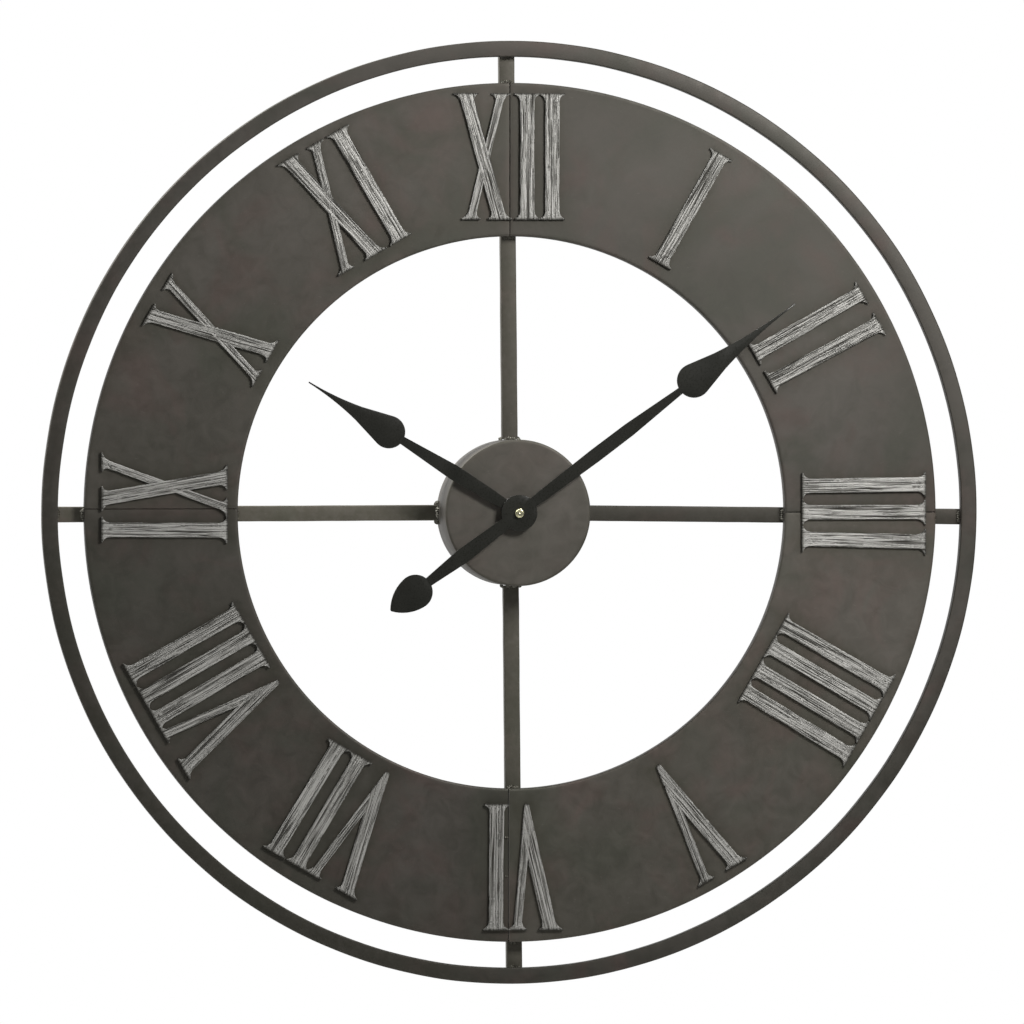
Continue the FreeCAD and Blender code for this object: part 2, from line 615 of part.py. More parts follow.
def movement_cover():
    """Back cover over the wheels; the battery bay below it stays open."""
    inner = CASE_SIDE / 2.0 - CASE_WALL - 0.05
    plate = block(-inner, inner, BAY_TOP, inner, CASE_BACK, COVER_FRONT)
    corners = [e for e in plate.Edges
               if abs(e.tangentAt(e.FirstParameter).z) > 0.5 and e.Vertexes[0].Y > 0]
    plate = plate.makeFillet(CASE_CORNER - CASE_WALL, corners)
    deep = COVER_FRONT - PIVOT_LONG - 0.1
    for hole in pivot_holes((THIRD_AT, INTERMEDIATE_AT, ROTOR_AT, ORIGIN), deep, COVER_FRONT):
        plate = plate.cut(hole)
    return plate.cut(disc(KNOB_ARBOR_R + FIT, CASE_BACK, COVER_FRONT, KNOB_AT.x, KNOB_AT.y))


def threaded_bush():
    flange = disc(BUSH_FLANGE_R, PLATE_BACK, CASE_FRONT)
    barrel = disc(BUSH_R, CASE_FRONT, HUB_DEEP + WASHER_THICK + NUT_THICK + 0.8)
    return flange.fuse(barrel).cut(disc(HOUR_TUBE_R + FIT, 0, 100))


def battery():
    can = Part.makeCylinder(BATTERY_R, BATTERY_LONG, V(-BATTERY_LONG / 2.0, BATTERY_Y, BATTERY_Z),
                            V(1, 0, 0))
    stud = Part.makeCylinder(2.7, 1.0, V(BATTERY_LONG / 2.0, BATTERY_Y, BATTERY_Z), V(1, 0, 0))
    rims = [e for e in can.Edges if isinstance(e.Curve, Part.Circle)]
    return can.makeFillet(0.8, rims).fuse(stud)


def battery_contacts():
    """A flat plate at the stud and a bowed spring strip at the other end."""
    wall = CASE_SIDE / 2.0 - CASE_WALL
    low, high = BATTERY_Y - 4.0, BATTERY_Y + 4.0
    back, front = BATTERY_Z - 5.0, BATTERY_Z + 5.0
    flat = block(wall - 0.5, wall - 0.1, low, high, back, front)
    outer = wall - 0.1
    reach = -BATTERY_LONG / 2.0 - 0.05
    bow = outline([V(-outer, low, 0), (V(reach - 0.35, BATTERY_Y, 0), V(-outer, high, 0)),
                   V(-outer + 0.35, high, 0), (V(reach, BATTERY_Y, 0), V(-outer + 0.35, low, 0))])
    return [flat, prism(bow, back, front)]


def circuit_board():
    board = block(-8.0, 8.0, 12.6, 25.6, CASE_BACK + 2.4, CASE_BACK + 3.4)
    chip = disc(2.6, CASE_BACK + 3.4, CASE_BACK + 4.3, -3.0, 18.0)
    return board.fuse(chip)


def quartz_crystal():
    return Part.makeCylinder(1.0, 6.0, V(4.0, 15.0, CASE_BACK + 4.45), V(0, 1, 0))


def hexagon(flats, low, high, bore):
    corner = flats / math.sqrt(3.0)
    points = [polar(corner, 60.0 * k) for k in range(6)]
    return prism(outline(points), low, high).cut(disc(bore, low, high))


# ---------------------------------------------------------------- hands
def round_base(neck, middle_r, bulb):
    """Where a blade's round base leaves the stem, and a point half-way round to its widest."""
    start = middle_r - math.sqrt(bulb ** 2 - neck ** 2)
    half_way = bulb * math.cos(math.radians(45.0))
    return (neck, start), (half_way, middle_r - half_way)


def both_sides(steps):
    """Close an outline from its right side: each step is an end and, for an arc, a point on the way."""
    def at(pair, side):
        return V(side * pair[0], pair[1], 0)

    def leg(end, via, side):
        return (at(via, side), at(end, side)) if via else at(end, side)

    right = [leg(end, via, 1) for end, via in steps]
    left = [at(steps[-1][0], -1)]
    for (end, _), (_, via) in zip(reversed(steps[:-1]), reversed(steps)):
        left.append(leg(end, via, -1))
    return outline(right + left)


def spade(neck, middle_r, bulb, waist_r, waist, needle_r, needle, tip_r):
    """Spade blade: a round base, straight flanks to a waist, then sides hollowed to the tip."""
    start, back = round_base(neck, middle_r, bulb)
    slope = math.atan2(bulb - waist, waist_r - middle_r)
    flank = (bulb * math.cos(slope), middle_r + bulb * math.sin(slope))
    return both_sides([(start, None), (flank, back), ((waist, waist_r), None),
                       ((0.5, tip_r), (needle, needle_r))])


def arm(points):
    right = [V(half, radius, 0) for radius, half in points]
    left = [V(-half, radius, 0) for radius, half in reversed(points)]
    return outline(right + left)


def leaf(neck, middle_r, bulb, tip_r):
    """Leaf-shaped counterweight: a round base and bowed sides that meet in a blunt point."""
    start, back = round_base(neck, middle_r, bulb)
    bowed = (0.71 * bulb, middle_r + 0.57 * (tip_r - middle_r))
    return both_sides([(start, None), ((bulb, middle_r), back), ((0.6, tip_r), bowed)])


def hand(faces, back, bore, clock_degrees):
    """Fuse the flat parts of a hand with its boss, raise it to its level and set it to its time."""
    solid = disc(BOSS_R, back, back + HAND_THICK)
    for face in faces:
        solid = solid.fuse(prism(face, back, back + HAND_THICK))
    solid = solid.cut(disc(bore, back, back + HAND_THICK)).removeSplitter()
    return at_clock(solid, clock_degrees)


def hour_hand():
    blade = spade(2.8, 115.5, 12.3, 142.0, 5.5, 162.0, 2.1, 186.5)
    stem = arm([(5.0, 3.2), (24.0, 4.6), (58.0, 5.7), (106.0, 2.9)])
    return hand([blade, stem], HOUR_HAND_BACK, HOUR_TUBE_R + 0.01, HOUR_ANGLE)


def minute_hand():
    blade = spade(2.5, 165.3, 12.9, 190.0, 7.2, 221.0, 2.6, 261.5)
    stem = arm([(5.0, 3.2), (24.0, 4.2), (72.0, 5.25), (104.0, 5.1), (155.0, 2.5)])
    tail = arm([(5.0, 3.8), (24.0, 4.8), (54.0, 5.8), (88.0, 3.3)])
    weight = leaf(3.4, 98.3, 13.0, 121.6)
    for face in (tail, weight):
        face.rotate(ORIGIN, FORWARD, 180)
    return hand([blade, stem, tail, weight], MINUTE_HAND_BACK, MINUTE_ARBOR_R + 0.01, MINUTE_ANGLE)


def cap_nut():
    """Brass nut that holds the minute hand: a flange, a round body and a gently domed end."""
    base = MINUTE_HAND_BACK + HAND_THICK
    flange = disc(CAP_FLANGE_R, base, base + 1.0)
    body = disc(CAP_R, base, base + CAP_TALL)
    body = body.makeFillet(0.9, edges_at(body, base + CAP_TALL))
    return body.fuse(flange).cut(disc(1.31, base, base + 2.5))


# ---------------------------------------------------------------- all pieces
def main():
    os.makedirs("parts", exist_ok=True)
    save("outer_ring", outer_ring())
    for name, clock_degrees in SPOKES.items():
        save(name, spoke(clock_degrees))
    for name, quarter in dial_quarters().items():
        save(name, quarter)
    outer_rim, inner_rim = dial_rims()
    save("dial_outer_rim", outer_rim)
    save("dial_inner_rim", inner_rim)
    for name, cut in NUMERALS.items():
        save(name, numeral(*cut))
    save("weld_beads", *weld_beads())

    save("hub_drum", hub_drum())
    save("hub_face", hub_face())
    save("hanger_plate", hanger_plate())

    save("movement_case", movement_case())
    save("movement_cover", movement_cover())
    save("threaded_bush", threaded_bush())
    save("rubber_washer", tube(12.0, BUSH_R + 0.1, CASE_FRONT, CASE_FRONT + HUB_SEAT))
    save("brass_washer", tube(8.5, BUSH_R + 0.1, HUB_DEEP, HUB_DEEP + WASHER_THICK))
    nut_low = HUB_DEEP + WASHER_THICK
    save("hex_nut", hexagon(NUT_FLATS, nut_low, nut_low + NUT_THICK, BUSH_R + 0.02))
    save("battery", battery())
    save("battery_contacts", *battery_contacts())
    save("circuit_board", circuit_board())
    save("quartz_crystal", quartz_crystal())
    save("coil", coil())
    save("stator", stator())

    rotor_pinion, rotor_magnet = rotor()
    save("rotor_pinion", rotor_pinion)
    save("rotor_magnet", rotor_magnet)
    save("intermediate_wheel", intermediate_wheel())
    save("second_wheel", second_wheel())
    save("third_wheel", third_wheel())
    save("centre_wheel", centre_wheel())
    save("clutch_spring", clutch_spring())
    save("minute_arbor", minute_arbor())
    save("minute_works_wheel", minute_works_wheel())
    save("hour_wheel", hour_wheel())
    save("setting_knob", setting_knob())

    save("hour_hand", hour_hand())
    save("minute_hand", minute_hand())
    save("cap_nut", cap_nut())


main()
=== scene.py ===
import json
import math

import bmesh
import bpy
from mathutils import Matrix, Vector, noise


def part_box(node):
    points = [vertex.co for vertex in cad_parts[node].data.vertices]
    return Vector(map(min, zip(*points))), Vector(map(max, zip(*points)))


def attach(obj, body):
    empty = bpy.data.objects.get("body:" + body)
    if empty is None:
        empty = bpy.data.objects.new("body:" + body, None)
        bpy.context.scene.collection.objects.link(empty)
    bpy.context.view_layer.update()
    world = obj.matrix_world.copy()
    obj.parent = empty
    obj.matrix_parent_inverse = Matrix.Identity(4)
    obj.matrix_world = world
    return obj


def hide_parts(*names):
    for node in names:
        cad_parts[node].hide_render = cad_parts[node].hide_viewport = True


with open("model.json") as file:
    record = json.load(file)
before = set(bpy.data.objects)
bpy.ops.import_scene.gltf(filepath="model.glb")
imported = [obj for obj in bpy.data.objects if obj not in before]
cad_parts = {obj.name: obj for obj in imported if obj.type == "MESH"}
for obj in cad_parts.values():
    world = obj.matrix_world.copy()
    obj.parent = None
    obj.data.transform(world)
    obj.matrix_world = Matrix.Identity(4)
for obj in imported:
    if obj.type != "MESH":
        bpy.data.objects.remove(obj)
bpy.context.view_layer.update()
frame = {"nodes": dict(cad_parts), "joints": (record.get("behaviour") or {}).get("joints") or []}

# The looks of a large metal wall clock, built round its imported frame. Lengths are metres.
# The clock hangs on the plane Y = 0 and faces -Y; Z is up. Most pieces are first described in
# the clock's own terms: across (to the right), up (from the hands' axis) and forward from the wall.

MM = 0.001
AXIS_UP = next(j for j in frame["joints"] if j["name"] == "minute_turn")["pos_m"][2]


def reach(node):
    """(back, front) of a CAD node, as distances forward from the wall."""
    low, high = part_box(node)
    return -high.y, -low.y


def radius_of(node):
    low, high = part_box(node)
    return (high.x - low.x) / 2.0


# ---- sizes repeated from the design
RING_FACE = 12.0 * MM
RIM_WALL = 1.5 * MM
HUB_WALL = 1.5 * MM
SHAFT_HOLE_R = 4.1 * MM
SPOKE_HALF = 6.0 * MM
SEAM_HALF = 0.4 * MM
SEAMS = ((0, -2.0 * MM), (90, 0.0), (180, 3.0 * MM), (270, 3.0 * MM))
SPOKES = {"spoke_top": -0.5, "spoke_right": 90.6, "spoke_bottom": 179.5, "spoke_left": 269.8}

# ---- levels and radii that the frame gives
RING_BACK, RING_FRONT = reach("outer_ring")
RING_R = radius_of("outer_ring")
DIAL_BACK, DIAL_FRONT = reach("dial_upper_right")
DIAL_R = radius_of("dial_outer_rim")
HOLE_R = radius_of("dial_inner_rim") - RIM_WALL
RIM_BACK, RIM_FRONT = reach("dial_outer_rim")
SPOKE_BACK, SPOKE_FRONT = reach("spoke_top")
HUB_BACK, HUB_RIM = reach("hub_drum")
HUB_FRONT = reach("hub_face")[1]
HUB_R = radius_of("hub_drum")
NUMERAL_FRONT = reach("numeral_1")[1]
CAP_BACK, CAP_FRONT = reach("cap_nut")

# ---- how light each separately finished piece of metal is
RING_LIGHTNESS = 0.88
HUB_LIGHTNESS = 1.28
SHEET_LIGHTNESS = {"dial_upper_right": 0.98, "dial_lower_right": 1.32, "dial_lower_left": 1.00,
                   "dial_upper_left": 1.15}
SPOKE_LIGHTNESS = {"spoke_top": 1.45, "spoke_right": 0.88, "spoke_bottom": 1.70, "spoke_left": 2.20}

# ---- numerals
NUMERAL_TALL = 96.0 * MM
STROKE_WIDE = 11.0 * MM
STROKE_DIAGONAL = 10.4 * MM
STROKE_THIN = 6.2 * MM
SERIF_OUT = 4.2 * MM
SERIF_BRACKET = 7.5 * MM
SERIF_SLAB = 1.6 * MM
V_FOOT_HALF = 1.4 * MM
# Hour, radius of the middle, then letters by the places of their strokes clockwise of the hour
# line, in millimetres. I: foot, head. V: foot, heads of thick and thin strokes. X: foot and head
# of the thick stroke, foot and head of the thin one.
NUMERALS = {
    "numeral_12": (12, 268.0, ("X", -9.5, -36.0, -32.0, -8.5), ("I", 11.0, 11.0), ("I", 30.0, 30.0)),
    "numeral_1": (1, 266.0, ("I", 3.0, 2.5)),
    "numeral_2": (2, 266.5, ("I", -11.5, -10.5), ("I", 13.0, 16.5)),
    "numeral_3": (3, 268.0, ("I", -20.0, -21.0), ("I", 0.0, 0.0), ("I", 20.0, 22.5)),
    "numeral_4": (4, 267.5, ("I", -29.5, -30.0), ("I", -10.5, -10.0), ("I", 9.5, 10.5),
                  ("I", 28.5, 30.5)),
    "numeral_5": (5, 268.0, ("V", -0.5, -15.0, 12.0)),
    "numeral_6": (6, 267.0, ("V", -10.5, -29.0, -3.5), ("I", 12.0, 13.0)),
    "numeral_7": (7, 264.0, ("V", -15.5, -34.0, -4.5), ("I", 8.0, 9.5), ("I", 27.0, 29.5)),
    "numeral_8": (8, 264.5, ("V", -21.0, -42.0, -12.0), ("I", 1.0, 1.0), ("I", 20.0, 20.0),
                  ("I", 39.0, 40.0)),
    "numeral_9": (9, 263.5, ("I", -13.0, -12.5), ("X", 27.0, 10.5, 3.5, 38.5)),
    "numeral_10": (10, 265.5, ("X", 14.5, -9.0, -9.5, 20.0)),
    "numeral_11": (11, 267.5, ("X", 7.5, -15.0, -19.0, 9.0), ("I", 29.0, 28.5)),
}


# ---------------------------------------------------------------- places and noise
def place(across, up, forward):
    return Vector((across, -forward, AXIS_UP + up))


def at_clock(radius, clock_degrees, forward, aside=0.0):
    """A point at a radius and clock angle, moved aside clockwise at a right angle to the radius."""
    a = math.radians(clock_degrees)
    across = radius * math.sin(a) + aside * math.cos(a)
    up = radius * math.cos(a) - aside * math.sin(a)
    return place(across, up, forward)


def wobble(x, y, z, size, seed):
    """Smooth noise from -1 to 1 that changes over a length of about size."""
    return noise.noise(Vector((x / size + seed * 17.3, y / size - seed * 9.1, z / size + seed * 5.7)))


def smooth_step(t):
    t = max(0.0, min(1.0, t))
    return t * t * (3.0 - 2.0 * t)


# ---------------------------------------------------------------- materials
class Nodes:
    """A short way to write a node tree."""

    def __init__(self, name):
        self.material = bpy.data.materials.new(name)
        self.material.use_nodes = True
        self.tree = self.material.node_tree
        self.shader = self.tree.nodes["Principled BSDF"]
        self.place = self.add("ShaderNodeTexCoord").outputs["Object"]

    def add(self, kind, **settings):
        node = self.tree.nodes.new(kind)
        for key, value in settings.items():
            setattr(node, key, value)
        return node

    def feed(self, socket, value):
        if isinstance(value, bpy.types.NodeSocket):
            self.tree.links.new(value, socket)
        else:
            socket.default_value = value

    def noise(self, scale, detail=4.0, rough=0.55, warp=0.0, place=None):
        node = self.add("ShaderNodeTexNoise")
        self.feed(node.inputs["Vector"], place or self.place)
        node.inputs["Scale"].default_value = scale
        node.inputs["Detail"].default_value = detail
        node.inputs["Roughness"].default_value = rough
        node.inputs["Distortion"].default_value = warp
        return node.outputs["Fac"]

    def stretched(self, factors, turn=(0.0, 0.0, 0.0), place=None):
        node = self.add("ShaderNodeMapping")
        self.feed(node.inputs["Vector"], place or self.place)
        node.inputs["Scale"].default_value = factors
        node.inputs["Rotation"].default_value = turn
        return node.outputs["Vector"]

    def attribute(self, name):
        return self.add("ShaderNodeAttribute", attribute_name=name)

    def ramp(self, fac, *stops):
        """Stops are (position, colour or grey value)."""
        node = self.add("ShaderNodeValToRGB")
        self.feed(node.inputs["Fac"], fac)
        elements = node.color_ramp.elements
        while len(elements) < len(stops):
            elements.new(0.5)
        for element, (position, colour) in zip(elements, stops):
            element.position = position
            if isinstance(colour, (int, float)):
                colour = (colour, colour, colour)
            element.color = (*colour, 1.0)
        return node.outputs["Color"]

    def mix(self, fac, first, second, how="MIX"):
        node = self.add("ShaderNodeMix", data_type="RGBA", blend_type=how)
        self.feed(node.inputs["Factor"], fac)
        for socket, value in ((node.inputs["A"], first), (node.inputs["B"], second)):
            if isinstance(value, tuple):
                value = (*value, 1.0)
            self.feed(socket, value)
        return node.outputs["Result"]

    def math(self, operation, *values):
        node = self.add("ShaderNodeMath", operation=operation)
        for socket, value in zip(node.inputs, values):
            self.feed(socket, value)
        return node.outputs["Value"]

    def bump(self, height, distance, strength):
        node = self.add("ShaderNodeBump")
        node.inputs["Distance"].default_value = distance
        node.inputs["Strength"].default_value = strength
        self.feed(node.inputs["Height"], height)
        return node.outputs["Normal"]

    def edges(self, radius):
        """About 1 along sharp edges and 0 on flats."""
        soft = self.add("ShaderNodeBevel", samples=4)
        soft.inputs["Radius"].default_value = radius
        sharp = self.add("ShaderNodeNewGeometry").outputs["Normal"]
        dot = self.add("ShaderNodeVectorMath", operation="DOT_PRODUCT")
        self.feed(dot.inputs[0], soft.outputs["Normal"])
        self.feed(dot.inputs[1], sharp)
        return self.ramp(dot.outputs["Value"], (0.70, 1.0), (0.97, 0.0))

    def finish(self, colour, rough, metal=0.0, normal=None, **plain):
        """Feed the shader and return its material; plain holds single values by socket name."""
        self.feed(self.shader.inputs["Base Color"], colour)
        self.feed(self.shader.inputs["Roughness"], rough)
        self.feed(self.shader.inputs["Metallic"], metal)
        if normal is not None:
            self.feed(self.shader.inputs["Normal"], normal)
        for name, value in plain.items():
            self.shader.inputs[name.replace("_", " ")].default_value = value
        return self.material


def patina_metal(name, lightness=1.0, clouding=1.0):
    """Dark bronze-grey satin steel with soft brown and green clouds and scuffs, and painted shade in its
    corners.
    """
    n = Nodes(name)
    clouds = n.noise(6.5, 3.0, 0.5, 0.6)
    patches = n.noise(17.0, 4.0, 0.55, 1.0)
    mottle = n.noise(75.0, 5.0, 0.62, 0.8)
    grain = n.noise(900.0, 3.0, 0.6)
    base = n.ramp(clouds, (0.32, (0.0560, 0.0530, 0.0440)), (0.50, (0.0680, 0.0625, 0.0540)),
                  (0.68, (0.0800, 0.0735, 0.0650)))
    red = n.ramp(patches, (0.48, 0.0), (0.66, 0.75 * clouding))
    tinted = n.mix(red, base, (0.0790, 0.0595, 0.0525))
    turned_place = n.stretched((1.0, 1.0, 1.0), (0.9, 0.3, 0.4))
    green = n.ramp(n.noise(13.0, 3.0, 0.5, 0.8, turned_place), (0.50, 0.0), (0.66, 0.75 * clouding))
    tinted = n.mix(green, tinted, (0.0520, 0.0530, 0.0420))
    cast = n.ramp(mottle, (0.32, (0.86, 0.86, 0.83)), (0.68, (1.13, 1.12, 1.11)))
    tinted = n.mix(1.0, tinted, cast, "MULTIPLY")
    # Painted shade: this attribute darkens bar arrises, the dial round the numerals and along its rim, the
    # hub face's bend and the ring's lower left.
    painted_shade = n.attribute("painted_shade").outputs["Fac"]
    broken = n.math("MULTIPLY", painted_shade, n.ramp(n.noise(190.0, 4.0, 0.6), (0.32, 0.45), (0.62, 1.0)))
    tinted = n.mix(n.math("MULTIPLY", broken, 0.80), tinted, (0.040, 0.038, 0.027))
    scuffs = n.noise(1.0, 3.0, 0.6, 0.8, n.stretched((300.0, 300.0, 900.0), (0.0, 0.6, 0.0)))
    tinted = n.mix(n.ramp(scuffs, (0.66, 0.0), (0.80, 0.30)), tinted, (0.17, 0.16, 0.14))
    worn = n.math("MULTIPLY", n.edges(0.9 * MM), n.ramp(n.noise(140.0), (0.38, 0.05), (0.68, 0.60)))
    worn = n.math("MULTIPLY", worn, n.math("SUBTRACT", 1.0, painted_shade))
    rubbed = n.mix(worn, tinted, (0.20, 0.185, 0.16))
    tone = n.mix(1.0, rubbed, (lightness, lightness, lightness), "MULTIPLY")
    rough = n.ramp(mottle, (0.3, 0.46), (0.7, 0.60))
    height = n.math("ADD", n.math("MULTIPLY", grain, 0.4), n.noise(220.0, 4.0, 0.6))
    return n.finish(tone, rough, 0.35, n.bump(height, 0.05 * MM, 0.5), Specular_IOR_Level=0.45)


def streaked_silver(name):
    """Grey silver dry-brushed along each stroke, dark in its fine grooves and at its ends."""
    n = Nodes(name)
    grain = n.attribute("grain").outputs["Vector"]
    relief = n.attribute("relief").outputs["Fac"]
    streaks = n.noise(1.0, 2.0, 0.5, 0.15, n.stretched((950.0, 9.0, 1.0), place=grain))
    hairs = n.noise(1.0, 3.0, 0.55, 0.10, n.stretched((1500.0, 9.0, 1.0), place=grain))
    broad = n.noise(1.0, 2.0, 0.5, 0.0, n.stretched((120.0, 25.0, 1.0), place=grain))
    crossing = n.math("ABSOLUTE", n.math("SUBTRACT", streaks, 0.5))
    thin_lines = n.ramp(crossing, (0.0, 0.0), (0.060, 1.0))
    silver = n.math("MULTIPLY", relief, n.math("MULTIPLY_ADD", thin_lines, 0.36, 0.72))
    silver = n.math("ADD", silver, n.math("MULTIPLY", n.math("SUBTRACT", hairs, 0.5), 0.85))
    silver = n.math("ADD", silver, n.math("MULTIPLY", n.math("SUBTRACT", broad, 0.5), 0.16))
    colour = n.ramp(silver, (0.18, (0.034, 0.032, 0.027)), (0.44, (0.150, 0.147, 0.134)),
                    (0.72, (0.320, 0.317, 0.300)), (1.0, (0.460, 0.455, 0.435)))
    rough = n.ramp(silver, (0.25, 0.75), (0.85, 0.46))
    height = n.math("ADD", n.math("MULTIPLY", thin_lines, 0.5), n.math("MULTIPLY", hairs, 0.6))
    return n.finish(colour, rough, 0.25, n.bump(height, 0.18 * MM, 0.7))


def weld_metal(name):
    """Lumpy weld beads, waxed dark with paler high spots."""
    n = Nodes(name)
    lumps = n.noise(420.0, 4.0, 0.6, 0.5)
    colour = n.ramp(lumps, (0.32, (0.045, 0.041, 0.033)), (0.52, (0.105, 0.100, 0.080)),
                    (0.70, (0.25, 0.24, 0.205)))
    rough = n.ramp(n.noise(700.0), (0.35, 0.35), (0.65, 0.62))
    return n.finish(colour, rough, 0.45, n.bump(lumps, 0.35 * MM, 0.8))


def black_hand(name):
    """Near-black satin lacquer on stamped sheet, finely dusted, with faintly rubbed edges."""
    n = Nodes(name)
    dust = n.noise(650.0, 3.0, 0.6)
    cloud = n.noise(45.0, 3.0, 0.5)
    base = n.ramp(cloud, (0.3, (0.0155, 0.0160, 0.0132)), (0.7, (0.0240, 0.0240, 0.0205)))
    worn = n.mix(n.math("MULTIPLY", n.edges(0.25 * MM), 0.15), base, (0.11, 0.105, 0.10))
    rough = n.ramp(dust, (0.35, 0.24), (0.65, 0.36))
    return n.finish(worn, rough, 0.0, n.bump(dust, 0.02 * MM, 0.35), Specular_IOR_Level=0.16,
                    Coat_Weight=0.35, Coat_Roughness=0.16)


def turned_brass(name, pale):
    """Brass with the fine rings that a lathe leaves."""
    n = Nodes(name)
    rings = n.noise(2600.0, 2.0, 0.5, 0.0, n.stretched((0.12, 1.0, 0.12)))
    tarnish = n.noise(240.0, 4.0, 0.6, 0.4)
    colour = n.ramp(tarnish, (0.30, (0.72 * pale[0], 0.72 * pale[1], 0.62 * pale[2])), (0.62, pale))
    rough = n.ramp(tarnish, (0.3, 0.32), (0.7, 0.18))
    return n.finish(colour, rough, 1.0, n.bump(rings, 0.012 * MM, 0.6))


def moulded_plastic(name, dark, light, rough_low=0.42, rough_high=0.56, grain_size=1400.0):
    """Injection-moulded plastic with spark-eroded grain and faint flow marks."""
    n = Nodes(name)
    grain = n.noise(grain_size, 2.0, 0.5)
    flow = n.noise(60.0, 3.0, 0.5, 1.5)
    colour = n.ramp(flow, (0.3, dark), (0.7, light))
    polished = tuple(min(1.0, c * 2.2 + 0.03) for c in light)
    worn = n.mix(n.math("MULTIPLY", n.edges(0.3 * MM), 0.35), colour, polished)
    rough = n.ramp(grain, (0.35, rough_low), (0.65, rough_high))
    return n.finish(worn, rough, 0.0, n.bump(grain, 0.03 * MM, 0.5))


def brushed_metal(name, dark, light):
    """Bare metal brushed up and down."""
    n = Nodes(name)
    lines = n.noise(3000.0, 3.0, 0.6, 0.0, n.stretched((1.0, 1.0, 0.02)))
    stain = n.noise(130.0, 3.0, 0.5)
    colour = n.mix(0.4, n.ramp(lines, (0.3, dark), (0.7, light)), n.ramp(stain, (0.3, dark), (0.7, light)))
    rough = n.ramp(lines, (0.3, 0.42), (0.7, 0.26))
    return n.finish(colour, rough, 1.0, n.bump(lines, 0.01 * MM, 0.5))


def copper_winding(name):
    """Enamelled wire: rings round the winding's axis, which runs up the clock."""
    n = Nodes(name)
    wave = n.add("ShaderNodeTexWave", bands_direction="Z", wave_profile="SIN")
    n.feed(wave.inputs["Vector"], n.place)
    wave.inputs["Scale"].default_value = 3200.0
    wave.inputs["Distortion"].default_value = 0.6
    wave.inputs["Detail"].default_value = 1.0
    turns = wave.outputs["Fac"]
    stain = n.noise(900.0, 3.0)
    colour = n.mix(stain, (0.42, 0.14, 0.05), (0.70, 0.27, 0.11))
    # Painted shade: darker in the grooves between the turns of wire.
    colour = n.mix(1.0, colour, n.ramp(turns, (0.0, 0.45), (0.6, 1.0)), "MULTIPLY")
    return n.finish(colour, 0.30, 0.9, n.bump(turns, 0.04 * MM, 0.7))


def battery_jacket(name, low_x, high_x):
    """A plain two-colour jacket with a metal end and fine scuffs."""
    n = Nodes(name)
    across = n.add("ShaderNodeSeparateXYZ")
    n.feed(across.inputs["Vector"], n.place)
    share = n.add("ShaderNodeMapRange")
    n.feed(share.inputs["Value"], across.outputs["X"])
    share.inputs["From Min"].default_value = low_x
    share.inputs["From Max"].default_value = high_x
    scuffs = n.noise(500.0, 4.0, 0.65, 0.0, n.stretched((0.15, 1.0, 1.0)))
    blue = n.ramp(scuffs, (0.35, (0.012, 0.030, 0.085)), (0.70, (0.022, 0.048, 0.125)))
    band = n.ramp(scuffs, (0.35, (0.60, 0.60, 0.58)), (0.70, (0.72, 0.72, 0.70)))
    steel = n.ramp(scuffs, (0.35, (0.46, 0.46, 0.47)), (0.70, (0.62, 0.62, 0.63)))
    on_band = n.ramp(share.outputs["Result"], (0.66, 0.0), (0.665, 1.0))
    at_end = n.math("MAXIMUM", n.ramp(share.outputs["Result"], (0.955, 0.0), (0.96, 1.0)),
                    n.ramp(share.outputs["Result"], (0.012, 1.0), (0.016, 0.0)))
    colour = n.mix(at_end, n.mix(on_band, blue, band), steel)
    rough = n.ramp(scuffs, (0.3, 0.24), (0.7, 0.38))
    return n.finish(colour, rough, at_end, n.bump(scuffs, 0.015 * MM, 0.4), Coat_Weight=0.3)


def board_green(name):
    """Green solder resist over the weave of a glass-fibre board."""
    n = Nodes(name)
    weave = n.noise(1500.0, 2.0, 0.5, 0.0, n.stretched((1.0, 1.0, 0.4)))
    cloud = n.noise(200.0, 3.0)
    colour = n.mix(weave, (0.010, 0.075, 0.030), (0.018, 0.115, 0.050))
    colour = n.mix(n.ramp(cloud, (0.4, 0.0), (0.6, 0.4)), colour, (0.012, 0.090, 0.055))
    return n.finish(colour, n.ramp(weave, (0.3, 0.30), (0.7, 0.45)), 0.0, n.bump(weave, 0.02 * MM, 0.5))


# ---------------------------------------------------------------- mesh helpers
def settled(name, mesh, material, sharp_degrees, merge):
    """Put a mesh in the scene with its faces turned outward, shaded smooth except at sharp edges."""
    tidy = bmesh.new()
    tidy.from_mesh(mesh)
    if merge:
        bmesh.ops.remove_doubles(tidy, verts=tidy.verts, dist=0.001 * MM)
    bmesh.ops.recalc_face_normals(tidy, faces=tidy.faces)
    tidy.to_mesh(mesh)
    tidy.free()
    for polygon in mesh.polygons:
        polygon.use_smooth = True
    mesh.set_sharp_from_angle(angle=math.radians(sharp_degrees))
    mesh.materials.append(material)
    obj = bpy.data.objects.new(name, mesh)
    bpy.context.scene.collection.objects.link(obj)
    return obj


def piece(name, verts, faces, material, stands_for, body="frame", painted_shade=None):
    """Make a mesh piece that stands for CAD nodes, takes their slot's finish and rides on a body."""
    mesh = bpy.data.meshes.new(name)
    mesh.from_pydata([tuple(v) for v in verts], [], faces)
    # Optional painted shade for each point, read by the patina material.
    if painted_shade:
        mesh.attributes.new("painted_shade", "FLOAT", "POINT").data.foreach_set("value", painted_shade)
    obj = settled(name, mesh, material, 42.0, True)
    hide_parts(*stands_for)
    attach(obj, body)


def ring_faces(rows, count, closed):
    """Quads between rows of count points; closed joins the last row to the first."""
    faces = []
    for i in range(rows if closed else rows - 1):
        here, there = i * count, (i + 1) % rows * count
        for k in range(count):
            m = (k + 1) % count
            faces.append((here + k, here + m, there + m, there + k))
    return faces


def end_caps(rows, count):
    """The two faces that close a run of rows of count points."""
    return [tuple(range(count)), tuple((rows - 1) * count + k for k in reversed(range(count)))]


